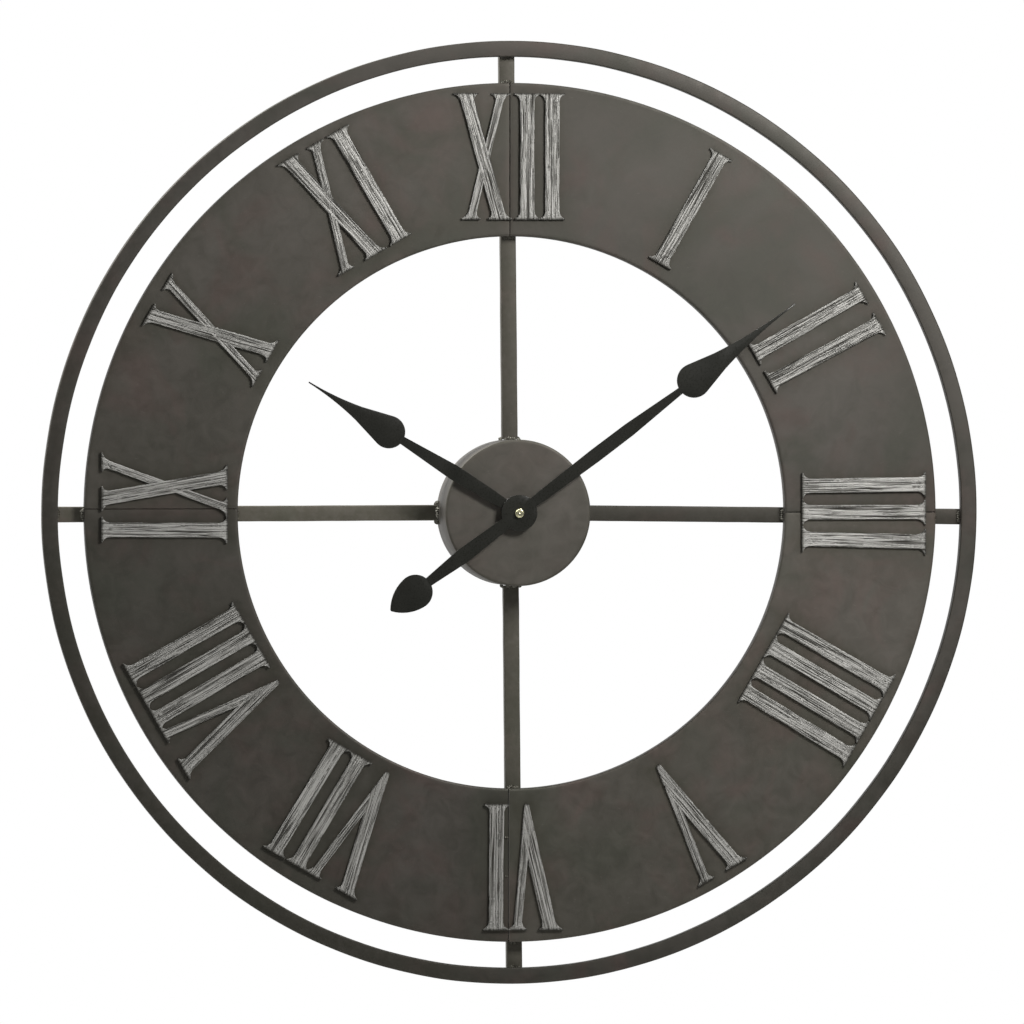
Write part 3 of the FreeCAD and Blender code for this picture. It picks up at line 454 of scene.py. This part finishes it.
def rounded(profile, cut, steps=3):
    """Round every corner of a closed (radius, forward) profile by cutting it back and bending it."""
    result = []
    count = len(profile)
    for i, here in enumerate(profile):
        before, after = Vector(profile[i - 1]), Vector(profile[(i + 1) % count])
        here = Vector(here)
        start = here + (before - here).normalized() * cut
        end = here + (after - here).normalized() * cut
        for k in range(steps + 1):
            t = k / steps
            result.append(tuple((1 - t) ** 2 * start + 2 * t * (1 - t) * here + t ** 2 * end))
    return result


def turned(profile, steps, warp=None):
    """Turn a closed (radius, forward) profile round the hands' axis; warp(point) shifts a point."""
    verts = []
    for i in range(steps):
        a = 2 * math.pi * i / steps
        for radius, forward in profile:
            point = place(radius * math.sin(a), radius * math.cos(a), forward)
            verts.append(point + warp(point) if warp else point)
    return verts, ring_faces(steps, len(profile), True)


def sheet_warp(amount, size, seed):
    """Hand-made sheet is never quite flat: a slow ripple in and out of its plane."""
    def warp(point):
        out = amount * wobble(point.x, 0.0, point.z, size, seed)
        out += 0.35 * amount * wobble(point.x, 0.0, point.z, size * 0.35, seed + 1)
        return Vector((0.0, out, 0.0))
    return warp


# ---------------------------------------------------------------- ring, dial, spokes
def corner_shade(point, profile):
    """Painted shade along a bar's arrises: 0.8 near a corner of its rounded section, 0 on its faces."""
    to_corner = 0.0
    for axis in (0, 1):
        places = [p[axis] for p in profile]
        to_corner += min(max(places) - point[axis], point[axis] - min(places))
    return 0.8 if to_corner < 0.9 * MM else 0.0


def outer_ring(material):
    """A bar rolled into a ring, with painted shade along its edges and on its lower left."""
    steps = 480
    inner = RING_R - RING_FACE
    profile = rounded([(inner, RING_BACK), (RING_R, RING_BACK), (RING_R, RING_FRONT), (inner, RING_FRONT)],
                      1.0 * MM)

    def warp(point):
        """Slight flats left by rolling, always inward so that the ring keeps its size."""
        out = point - place(0.0, 0.0, -point.y)
        dent = 0.22 * MM * (wobble(point.x, 0.0, point.z, 0.035, 3) - 1.0)
        side = 0.15 * MM * wobble(point.x, 0.0, point.z, 0.05, 5)
        return out.normalized() * dent + Vector((0.0, side, 0.0))

    verts, faces = turned(profile, steps, warp)
    painted_shade = []
    for step in range(steps):
        turn = step / steps
        # Painted shade on the ring's lower left, from 6 o'clock round to about 10 o'clock.
        shade = 0.95 * smooth_step((turn - 0.50) / 0.03) * smooth_step((0.90 - turn) / 0.25)
        painted_shade += [max(shade, corner_shade(p, profile)) for p in profile]
    piece("ring_band", verts, faces, material, ["outer_ring"], painted_shade=painted_shade)


def rims(material):
    """The two strips behind the dial that stiffen its outer and inner edges."""
    for name, node, radius in (("dial_outer_strip", "dial_outer_rim", DIAL_R - RIM_WALL),
                               ("dial_inner_strip", "dial_inner_rim", HOLE_R)):
        profile = rounded([(radius, RIM_BACK), (radius + RIM_WALL, RIM_BACK),
                           (radius + RIM_WALL, RIM_FRONT), (radius, RIM_FRONT)], 0.25 * MM, 2)
        verts, faces = turned(profile, 400, sheet_warp(0.10 * MM, 0.06, 8))
        piece(name, verts, faces, material, [node])


def stroke_lines():
    """Each stroke of every numeral as (hour, middle radius, foot, head, half width)."""
    lines = []
    for hour, middle, *letters in NUMERALS.values():
        for letter, *places in letters:
            for stroke in strokes_of(letter, places, 0.0):
                lines.append((hour, middle * MM, stroke.foot, stroke.head, stroke.width / 2.0))
    return lines


def painted_shade_at(across, up, lines):
    """How much painted shade falls on a point of the dial: 1 beside a numeral, less along the rim."""
    nearest, margin = 1.0, 30.0 * MM
    for hour, middle, foot, head, half in lines:
        a = math.radians(30.0 * hour)
        along = across * math.sin(a) + up * math.cos(a) - middle + NUMERAL_TALL / 2
        beside = across * math.cos(a) - up * math.sin(a)
        if -margin < along < NUMERAL_TALL + margin and abs(beside) < 80.0 * MM:
            held = min(max(along, 0.0), NUMERAL_TALL)
            centre = foot + (head - foot) * held / NUMERAL_TALL
            away = math.hypot(max(0.0, abs(beside - centre) - half), along - held)
            nearest = min(nearest, away)
    rim = DIAL_R - math.hypot(across, up)
    return max(math.exp(-nearest / (5.5 * MM)), 0.65 * math.exp(-max(0.0, rim) / (7.0 * MM)))


def dial_sheet(name, start_seam, end_seam, lines, material):
    """One quarter of the face, from one seam clockwise to the next, with rolled-over edges."""
    around, radial = 240, 64
    edge, lip = 0.7 * MM, 2.0 * MM
    profile = []
    for k in range(radial + 1):
        profile.append((HOLE_R + lip + (DIAL_R - HOLE_R - lip - edge) * k / radial, DIAL_FRONT))
    profile += [(DIAL_R - 0.3 * edge, DIAL_FRONT - 0.3 * edge), (DIAL_R, DIAL_FRONT - edge)]
    profile += [(DIAL_R, DIAL_BACK), (HOLE_R, DIAL_BACK)]
    for k in range(6):
        a = math.pi / 2 * k / 6
        forward = DIAL_BACK + (DIAL_FRONT - DIAL_BACK) * (0.2 + 0.8 * math.sin(a))
        profile.append((HOLE_R + lip * (1.0 - math.cos(a)), forward))
    ripple = sheet_warp(0.28 * MM, 0.07, 11)
    first = start_seam[0]
    last = end_seam[0] if end_seam[0] > first else end_seam[0] + 360
    near = [line for line in lines if first - 31 <= line[0] * 30 % 360 <= last + 31 or line[0] == 12]
    verts, painted_shade = [], []
    for i in range(around + 1):
        t = i / around
        lift = 0.0 if 0 < i < around else -0.12 * MM
        for radius, forward in profile:
            a0 = math.radians(first) + math.asin((start_seam[1] + SEAM_HALF) / radius)
            a1 = math.radians(last) + math.asin((end_seam[1] - SEAM_HALF) / radius)
            a = a0 + (a1 - a0) * t
            across, up = radius * math.sin(a), radius * math.cos(a)
            point = place(across, up, forward + lift)
            inside = smooth_step((radius - HOLE_R) / 0.02) * smooth_step((DIAL_R - radius) / 0.02)
            verts.append(point + ripple(point) * (0.25 + 0.75 * inside))
            # Painted shade round the numerals and along the outer rim.
            painted_shade.append(painted_shade_at(across, up, near))
    faces = ring_faces(around + 1, len(profile), False) + end_caps(around + 1, len(profile))
    piece(name + "_sheet", verts, faces, material, [name], painted_shade=painted_shade)


def bar(node, clock_degrees, material):
    """A square bar, faintly bowed and dented as hand-worked stock is, from hub wall to ring."""
    start, end = HUB_R + 0.08 * MM, RING_R - 2.0 * MM
    section = rounded([(-SPOKE_HALF, SPOKE_BACK), (SPOKE_HALF, SPOKE_BACK),
                       (SPOKE_HALF, SPOKE_FRONT), (-SPOKE_HALF, SPOKE_FRONT)], 0.9 * MM)
    middle = (SPOKE_BACK + SPOKE_FRONT) / 2.0
    steps = 140
    verts = []
    for i in range(steps + 1):
        radius = start + (end - start) * i / steps
        for aside, forward in section:
            squeeze = 1.0 - 0.02 * (1.0 + wobble(radius, aside, forward, 0.018, 21 + len(node)))
            dented = middle + (forward - middle) * squeeze
            verts.append(at_clock(radius, clock_degrees, dented, aside * squeeze))
    faces = ring_faces(steps + 1, len(section), False) + end_caps(steps + 1, len(section))
    # Painted shade along the bar's arrises.
    painted_shade = [corner_shade(p, section) for p in section] * (steps + 1)
    piece(node + "_bar", verts, faces, material, [node], painted_shade=painted_shade)


# ---------------------------------------------------------------- hub
def hub(material):
    """The drum's wall and its front disc, with painted shade along the disc's bend."""
    wall = rounded([(HUB_R - HUB_WALL, HUB_BACK), (HUB_R, HUB_BACK), (HUB_R, HUB_RIM),
                    (HUB_R - HUB_WALL, HUB_RIM)], 0.3 * MM, 2)

    def dented(point):
        out = point - place(0.0, 0.0, -point.y)
        return out.normalized() * (0.10 * MM * (wobble(point.x, point.y, point.z, 0.02, 31) - 1.0))

    verts, faces = turned(wall, 200, dented)
    piece("hub_wall", verts, faces, material, ["hub_drum"])
    radii = [SHAFT_HOLE_R + (HUB_R - 2.2 * MM - SHAFT_HOLE_R) * k / 22 for k in range(23)]
    face = [(r, HUB_FRONT) for r in radii]
    bend = 0.8 * MM
    for k in range(1, 6):
        a = math.pi / 2 * k / 5
        forward = HUB_FRONT - (HUB_FRONT - HUB_RIM) * (1 - math.cos(a))
        face.append((HUB_R - bend + bend * math.sin(a), forward))
    face.append((SHAFT_HOLE_R, HUB_RIM))
    verts, faces = turned(face, 200, sheet_warp(0.05 * MM, 0.03, 41))
    # Painted shade along the bend of the disc.
    painted_shade = [0.9 if radius > HUB_R - 0.9 * bend else 0.0 for radius, forward in face] * 200
    piece("hub_front", verts, faces, material, ["hub_face"], painted_shade=painted_shade)


# ---------------------------------------------------------------- numerals
def serif_spread(height):
    """How far a serif stands out at a distance from the end of its stroke."""
    if height <= SERIF_SLAB:
        return SERIF_OUT
    t = min(1.0, (height - SERIF_SLAB) / (SERIF_BRACKET - SERIF_SLAB))
    return SERIF_OUT * (1.0 - math.sqrt(1.0 - (1.0 - t) ** 2))


class Stroke:
    """One stroke of a numeral as a grid of heights with frayed sides, combed ends and grooves."""

    def __init__(self, foot, head, width, seed, foot_serif=True, low=0.0, trim=None):
        self.foot, self.head, self.width = foot, head, width
        self.foot_serif, self.seed, self.low, self.trim = foot_serif, seed, low, trim

    def middle(self, y):
        return self.foot + (self.head - self.foot) * y / NUMERAL_TALL

    def half(self, side, y):
        """Half width on one side at a height up the stroke, with its serifs and frayed edge."""
        half = self.width / 2.0
        if self.foot_serif:
            half += serif_spread(y)
        half += serif_spread(NUMERAL_TALL - y)
        fray = 0.07 * MM * wobble(y, side * 3.0, 0.0, 3.5 * MM, self.seed)
        fray += 0.11 * MM * wobble(y, side * 5.0, 0.0, 0.8 * MM, self.seed + 2)
        return half + fray - 0.12 * MM

    def grid(self, middle_r, hour, verts, faces, grain, relief):
        rows = self.row_heights()
        columns = 40 if self.width > 8 * MM else 26
        base = DIAL_FRONT - 0.35 * MM
        start = len(verts)
        wide = columns + 3
        for y in rows:
            centre = self.middle(y)
            left, right = centre - self.half(-1, y), centre + self.half(1, y)
            if self.trim:
                left, right = self.trim(y, left, right)
            end = min(y, NUMERAL_TALL - y)
            for c in range(-1, columns + 2):
                u = min(max(c, 0), columns) / columns
                x = left + (right - left) * u
                y_here = y
                if end < 0.2 * MM:
                    comb = 0.45 * MM * (1.0 + wobble(x, self.seed, 0.0, 0.55 * MM, self.seed + 7))
                    y_here += comb if y < NUMERAL_TALL / 2 else -comb
                groove = self.groove(x - centre, y, end)
                side = min(u, 1 - u) * (right - left)
                shoulder = smooth_step(0.35 + side / (0.8 * MM)) * smooth_step(0.45 + end / (0.9 * MM))
                top = NUMERAL_FRONT - self.low - (0.50 * groove + 0.50 * (1 - shoulder)) * MM
                if c < 0 or c > columns or y in (rows[0], rows[-1]):
                    top = base
                verts.append(at_clock(middle_r + y_here - NUMERAL_TALL / 2, 30.0 * hour, top, x))
                grain.append(((x - centre) + self.seed * 0.37, y + self.seed * 0.11, 0.0))
                relief.append((1.0 - groove) * (0.30 + 0.70 * smooth_step(end / (2.2 * MM))))
        for r in range(len(rows) - 1):
            for c in range(wide - 1):
                a = start + r * wide + c
                faces.append((a, a + 1, a + wide + 1, a + wide))

    def row_heights(self):
        """Rows close together at the ends, where the serifs curve, with one row down each end."""
        near = [0.35 * MM * k for k in range(26)]
        far = [NUMERAL_TALL - y for y in reversed(near)]
        between = []
        y = near[-1] + 0.7 * MM
        while y < far[0] - 0.4 * MM:
            between.append(y)
            y += 0.7 * MM
        return [-0.001 * MM] + near + between + far + [NUMERAL_TALL + 0.001 * MM]

    def groove(self, x, y, end):
        """1 in the thin wandering grooves that run along a stroke, and 0 on the ridges."""
        wander = 0.20 * MM * wobble(x / 4.0, y, 0.0, 22.0 * MM, self.seed + 1)
        deep = abs(wobble(x + wander, y / 110.0, 0.0, 0.95 * MM, self.seed + 3))
        fine = abs(wobble(x + wander, y / 90.0, 0.0, 0.60 * MM, self.seed + 4))
        lines = max(1.0 - smooth_step(deep / 0.15), 0.6 * (1.0 - smooth_step(fine / 0.20)))
        teeth = 0.5 + 0.5 * wobble(x, 0.0, 0.0, 0.5 * MM, self.seed + 8)
        combed = (1.0 - smooth_step(end / (3.5 * MM))) * teeth
        return max(0.0, min(1.0, max(lines, combed)))


def strokes_of(letter, places, seed):
    """The strokes of one letter; a V's two strokes stop where they meet at its foot."""
    mm = [p * MM for p in places]
    if letter == "I":
        return [Stroke(mm[0], mm[1], STROKE_WIDE, seed)]
    if letter == "X":
        thick_foot, thick_head, thin_foot, thin_head = mm
        return [Stroke(thick_foot, thick_head, STROKE_DIAGONAL, seed),
                Stroke(thin_foot, thin_head, STROKE_THIN, seed + 11, low=0.25 * MM)]
    foot, thick_head, thin_head = mm
    left, right = foot - V_FOOT_HALF, foot + V_FOOT_HALF
    thin_edge = thin_head + STROKE_THIN / 2.0

    def stop_at_thin(y, x0, x1):
        limit = right + (thin_edge - right) * y / NUMERAL_TALL
        return min(x0, limit - 0.2 * MM), min(x1, limit)

    def stop_at_thick(y, x0, x1):
        limit = left + (thick_head - STROKE_DIAGONAL / 2.0 - left) * y / NUMERAL_TALL
        return max(x0, limit), max(x1, limit + 0.2 * MM)

    return [Stroke(left + STROKE_DIAGONAL / 2.0, thick_head, STROKE_DIAGONAL, seed, False,
                   trim=stop_at_thin),
            Stroke(right - STROKE_THIN / 2.0, thin_head, STROKE_THIN, seed + 11, False,
                   low=0.25 * MM, trim=stop_at_thick)]


def numeral(name, hour, middle, letters, material):
    """All strokes of one hour's numeral, with the attributes that its silver is streaked by."""
    verts, faces, grain, relief = [], [], [], []
    for k, (letter, *places) in enumerate(letters):
        for stroke in strokes_of(letter, places, hour * 5.0 + k * 1.7):
            stroke.grid(middle * MM, hour, verts, faces, grain, relief)
    mesh = bpy.data.meshes.new(name + "_cut")
    mesh.from_pydata([tuple(v) for v in verts], [], faces)
    attribute = mesh.attributes.new("grain", "FLOAT_VECTOR", "POINT")
    attribute.data.foreach_set("vector", [value for triple in grain for value in triple])
    attribute = mesh.attributes.new("relief", "FLOAT", "POINT")
    attribute.data.foreach_set("value", relief)
    obj = settled(name + "_cut", mesh, material, 60.0, False)
    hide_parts(name)
    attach(obj, "frame")


# ---------------------------------------------------------------- welds
def weld(verts, faces, start, end, out_a, out_b, radius, seed):
    """A rippled bead from start to end in the corner between the directions out_a and out_b."""
    along = end - start
    length = along.length
    around, steps = 12, max(14, int(length / (0.35 * MM)))
    first = len(verts)
    for i in range(steps + 1):
        t = i / steps
        centre = start + along * t
        swell = math.sqrt(max(0.0, 1.0 - (2.0 * t - 1.0) ** 4))
        ripple = 1.0 + 0.16 * math.sin(t * length / (1.5 * MM) * 2 * math.pi + seed)
        for k in range(around + 1):
            a = -0.35 + (math.pi / 2 + 0.7) * k / around
            lump = 1.0 + 0.30 * wobble(centre.x, centre.y, centre.z + k * 0.4 * MM, 1.7 * MM, seed)
            size = radius * max(0.05, swell) * ripple * lump
            verts.append(centre + (out_a * math.cos(a) + out_b * math.sin(a)) * size)
    wide = around + 1
    for i in range(steps):
        for k in range(around):
            p = first + i * wide + k
            faces.append((p, p + 1, p + wide + 1, p + wide))


def weld_beads(material):
    """Beads across and beside each spoke where it meets hub, dial and ring, and tacks near 6."""
    verts, faces = [], []
    half, bead_r = 4.6 * MM, 2.1 * MM
    front = Vector((0.0, -1.0, 0.0))
    for n, (node, clock_degrees) in enumerate(SPOKES.items()):
        a = math.radians(clock_degrees)
        outward = Vector((math.sin(a), 0.0, math.cos(a)))
        aside = Vector((math.cos(a), 0.0, -math.sin(a)))
        edges = ((HUB_R, 1), (HOLE_R, -1), (DIAL_R, 1), (RING_R - RING_FACE, -1))
        for m, (radius, way) in enumerate(edges):
            middle = at_clock(radius, clock_degrees, SPOKE_FRONT)
            weld(verts, faces, middle - aside * half, middle + aside * half,
                 outward * way, front, bead_r, n * 7.0 + m)
        for side in (-1, 1):
            corner = at_clock(HUB_R - 0.2 * MM, clock_degrees, SPOKE_BACK + 1.0 * MM,
                              side * SPOKE_HALF)
            size = 2.6 * MM if node == "spoke_left" else 1.9 * MM
            weld(verts, faces, corner, corner + front * 6.4 * MM,
                 aside * side, outward, size, n * 9.0 + side)
    sideways = Vector((1.4 * MM, 0, 0))
    for radius in (245.0 * MM, 274.0 * MM):
        tack = at_clock(radius, 180.0, DIAL_FRONT - 0.1 * MM, 4.5 * MM)
        weld(verts, faces, tack - sideways, tack + sideways, Vector((0, 0, 1)), front, 1.2 * MM,
             radius * 900.0)
    piece("weld_runs", verts, faces, material, ["weld_beads"])


# ---------------------------------------------------------------- small brass
def cap_nut(material):
    """Turned brass cap: a low flange, a body and a softly domed end with a centre mark."""
    bore, flange, body = 1.31 * MM, 3.4 * MM, 3.0 * MM
    back, front = CAP_BACK, CAP_FRONT
    shoulder = front - 0.9 * MM
    profile = [(bore, back), (flange - 0.1 * MM, back), (flange, back + 0.1 * MM),
               (flange, back + 0.9 * MM), (flange - 0.15 * MM, back + 1.0 * MM),
               (body - 0.05 * MM, back + 1.1 * MM), (body, back + 1.3 * MM), (body, shoulder)]
    for k in range(1, 8):
        a = math.pi / 2 * k / 7
        profile.append(((2.1 + 0.9 * math.cos(a)) * MM, shoulder + 0.75 * MM * math.sin(a)))
    profile += [(1.1 * MM, front - 0.03 * MM), (0.5 * MM, front)]
    profile += [(0.28 * MM, front - 0.12 * MM), (0.02 * MM, front - 0.2 * MM)]
    profile += [(0.02 * MM, back + 2.5 * MM), (bore, back + 2.4 * MM)]
    verts, faces = turned(profile, 96)
    piece("cap_turned", verts, faces, material, ["cap_nut"], "minute_turn_body")


def finish_node(node, material, bevel=0.0, segments=2):
    """Give a carried-over CAD node its material, softened edges and smooth shading."""
    obj = frame["nodes"][node]
    for polygon in obj.data.polygons:
        polygon.use_smooth = True
        polygon.material_index = 0
    obj.data.materials.clear()
    obj.data.materials.append(material)
    if bevel:
        weld_points = obj.modifiers.new("join_corners", "WELD")
        weld_points.merge_threshold = 0.002 * MM
        soften = obj.modifiers.new("soft_edges", "BEVEL")
        soften.width = bevel
        soften.segments = segments
        soften.limit_method = "ANGLE"
        soften.angle_limit = math.radians(35.0)
        soften.harden_normals = True


# ---------------------------------------------------------------- light, floor and camera
def area_light(name, position, target, width, height, power, colour=(1.0, 1.0, 1.0)):
    data = bpy.data.lights.new(name, "AREA")
    data.shape = "RECTANGLE"
    data.size, data.size_y = width, height
    data.energy = power
    data.color = colour
    obj = bpy.data.objects.new(name, data)
    obj.location = position
    obj.rotation_euler = (Vector(target) - Vector(position)).to_track_quat("-Z", "Y").to_euler()
    obj.visible_camera = False
    bpy.context.scene.collection.objects.link(obj)


def studio(centre):
    """A white studio, bright behind the clock and dim in front. The key light is upper right, with a
    weak fill at the left, and a strip above left, level with the dial's back, lights only edges."""
    world = bpy.data.worlds.new("studio_air")
    bpy.context.scene.world = world
    world.use_nodes = True
    nodes, links = world.node_tree.nodes, world.node_tree.links
    seen = nodes["Background"]
    seen.inputs["Color"].default_value = (1.0, 1.0, 1.0, 1.0)
    seen.inputs["Strength"].default_value = 1.0
    direction = nodes.new("ShaderNodeSeparateXYZ")
    links.new(nodes.new("ShaderNodeTexCoord").outputs["Generated"], direction.inputs["Vector"])
    share = nodes.new("ShaderNodeMapRange")
    share.inputs["From Min"].default_value = 0.1
    share.inputs["From Max"].default_value = 0.6
    share.inputs["To Min"].default_value = 0.14
    share.inputs["To Max"].default_value = 0.85
    links.new(direction.outputs["Y"], share.inputs["Value"])
    lighting = nodes.new("ShaderNodeBackground")
    lighting.inputs["Color"].default_value = (1.0, 1.0, 1.0, 1.0)
    links.new(share.outputs["Result"], lighting.inputs["Strength"])
    path = nodes.new("ShaderNodeLightPath")
    both = nodes.new("ShaderNodeMixShader")
    links.new(path.outputs["Is Camera Ray"], both.inputs["Fac"])
    links.new(lighting.outputs["Background"], both.inputs[1])
    links.new(seen.outputs["Background"], both.inputs[2])
    links.new(both.outputs["Shader"], nodes["World Output"].inputs["Surface"])
    area_light("key", centre + Vector((0.55, -1.00, 0.62)), centre, 0.36, 0.36, 13.2, (1.0, 0.985, 0.96))
    area_light("fill", centre + Vector((-1.6, -2.2, 0.2)), centre, 1.4, 1.4, 2.0, (0.97, 0.985, 1.0))
    level = centre + Vector((0.0, 0.055, 0.0))
    area_light("edge", level + Vector((-0.85, 0.0, 1.20)), level, 0.14, 1.1, 42.0)


def floor():
    """A plain pale floor, well below the hanging clock."""
    low = AXIS_UP - 1.15
    size = 2.6
    steps = 24
    ticks = [-size + 2 * size * i / steps for i in range(steps + 1)]
    verts, faces = [(x, y, low) for x in ticks for y in ticks], []
    for i in range(steps):
        for j in range(steps):
            a = i * (steps + 1) + j
            faces.append((a, a + 1, a + steps + 2, a + steps + 1))
    mesh = bpy.data.meshes.new("pale_floor")
    mesh.from_pydata(verts, [], faces)
    n = Nodes("floor_paint")
    mottle = n.noise(3.0, 4.0, 0.6)
    mesh.materials.append(n.finish(n.ramp(mottle, (0.3, (0.78, 0.78, 0.77)), (0.7, (0.84, 0.84, 0.83))),
                                   n.ramp(n.noise(40.0), (0.3, 0.55), (0.7, 0.7))))
    obj = bpy.data.objects.new("pale_floor", mesh)
    bpy.context.scene.collection.objects.link(obj)


def camera(centre):
    """A long lens, a little left of the clock and about level with its middle."""
    left, above, distance = math.radians(7.8), math.radians(0.5), 8.0
    back = Vector((-math.sin(left) * math.cos(above), -math.cos(left) * math.cos(above), math.sin(above)))
    data = bpy.data.cameras.new("view")
    data.sensor_width = 36.0
    data.lens = 373.5
    obj = bpy.data.objects.new("view", data)
    obj.location = centre + Vector((-0.4 * MM, 0.0, 0.4 * MM)) + back * distance
    obj.rotation_euler = (-back).to_track_quat("-Z", "Y").to_euler()
    bpy.context.scene.collection.objects.link(obj)
    bpy.context.scene.camera = obj


# ---------------------------------------------------------------- build
def build():
    frame_metal = patina_metal("patina")
    hub_metal = patina_metal("patina_hub", HUB_LIGHTNESS, 0.35)
    silver = streaked_silver("streaked_silver")
    outer_ring(patina_metal("patina_ring", RING_LIGHTNESS))
    rims(frame_metal)
    lines = stroke_lines()
    for k, (name, lightness) in enumerate(SHEET_LIGHTNESS.items()):
        sheet_metal = patina_metal("patina_" + name, lightness)
        dial_sheet(name, SEAMS[k], SEAMS[(k + 1) % 4], lines, sheet_metal)
    for node, clock_degrees in SPOKES.items():
        bar(node, clock_degrees, patina_metal("patina_" + node, SPOKE_LIGHTNESS[node]))
    hub(hub_metal)
    weld_beads(weld_metal("weld"))
    for name, (hour, middle, *letters) in NUMERALS.items():
        numeral(name, hour, middle, letters, silver)

    black = black_hand("hand_lacquer")
    finish_node("minute_hand", black, 0.30 * MM, 3)
    finish_node("hour_hand", black, 0.30 * MM, 3)
    cap_nut(turned_brass("cap_brass", (0.97, 0.93, 0.64)))

    finish_node("hanger_plate", hub_metal, 0.25 * MM)
    brass = turned_brass("fixing_brass", (0.80, 0.60, 0.28))
    for node in ("threaded_bush", "brass_washer", "minute_arbor"):
        finish_node(node, brass)
    finish_node("hex_nut", brass, 0.2 * MM)
    case = moulded_plastic("case_plastic", (0.010, 0.010, 0.011), (0.017, 0.017, 0.018))
    finish_node("movement_case", case, 0.2 * MM)
    finish_node("movement_cover", case, 0.2 * MM)
    finish_node("setting_knob", case)
    wheels = moulded_plastic("wheel_plastic", (0.68, 0.66, 0.60), (0.80, 0.79, 0.73), 0.30, 0.42)
    for node in ("rotor_pinion", "intermediate_wheel", "second_wheel", "third_wheel", "centre_wheel",
                 "minute_works_wheel", "hour_wheel"):
        finish_node(node, wheels)
    rubber = moulded_plastic("washer_rubber", (0.012, 0.012, 0.012), (0.022, 0.021, 0.020),
                             0.62, 0.80, 900.0)
    finish_node("rubber_washer", rubber)
    low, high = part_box("battery")
    finish_node("battery", battery_jacket("battery_jacket", low.x, high.x))
    steel = brushed_metal("spring_steel", (0.50, 0.50, 0.49), (0.72, 0.72, 0.70))
    for node in ("battery_contacts", "clutch_spring", "stator"):
        finish_node(node, steel)
    finish_node("rotor_magnet", brushed_metal("magnet", (0.10, 0.10, 0.11), (0.20, 0.20, 0.21)))
    finish_node("quartz_crystal", brushed_metal("crystal_can", (0.62, 0.62, 0.64), (0.82, 0.82, 0.84)))
    finish_node("circuit_board", board_green("board"))
    finish_node("coil", copper_winding("winding"))


build()
centre_of_view = place(0.0, 0.0, DIAL_FRONT)
studio(centre_of_view)
floor()
camera(centre_of_view)
bpy.context.scene.view_settings.view_transform = "Standard"
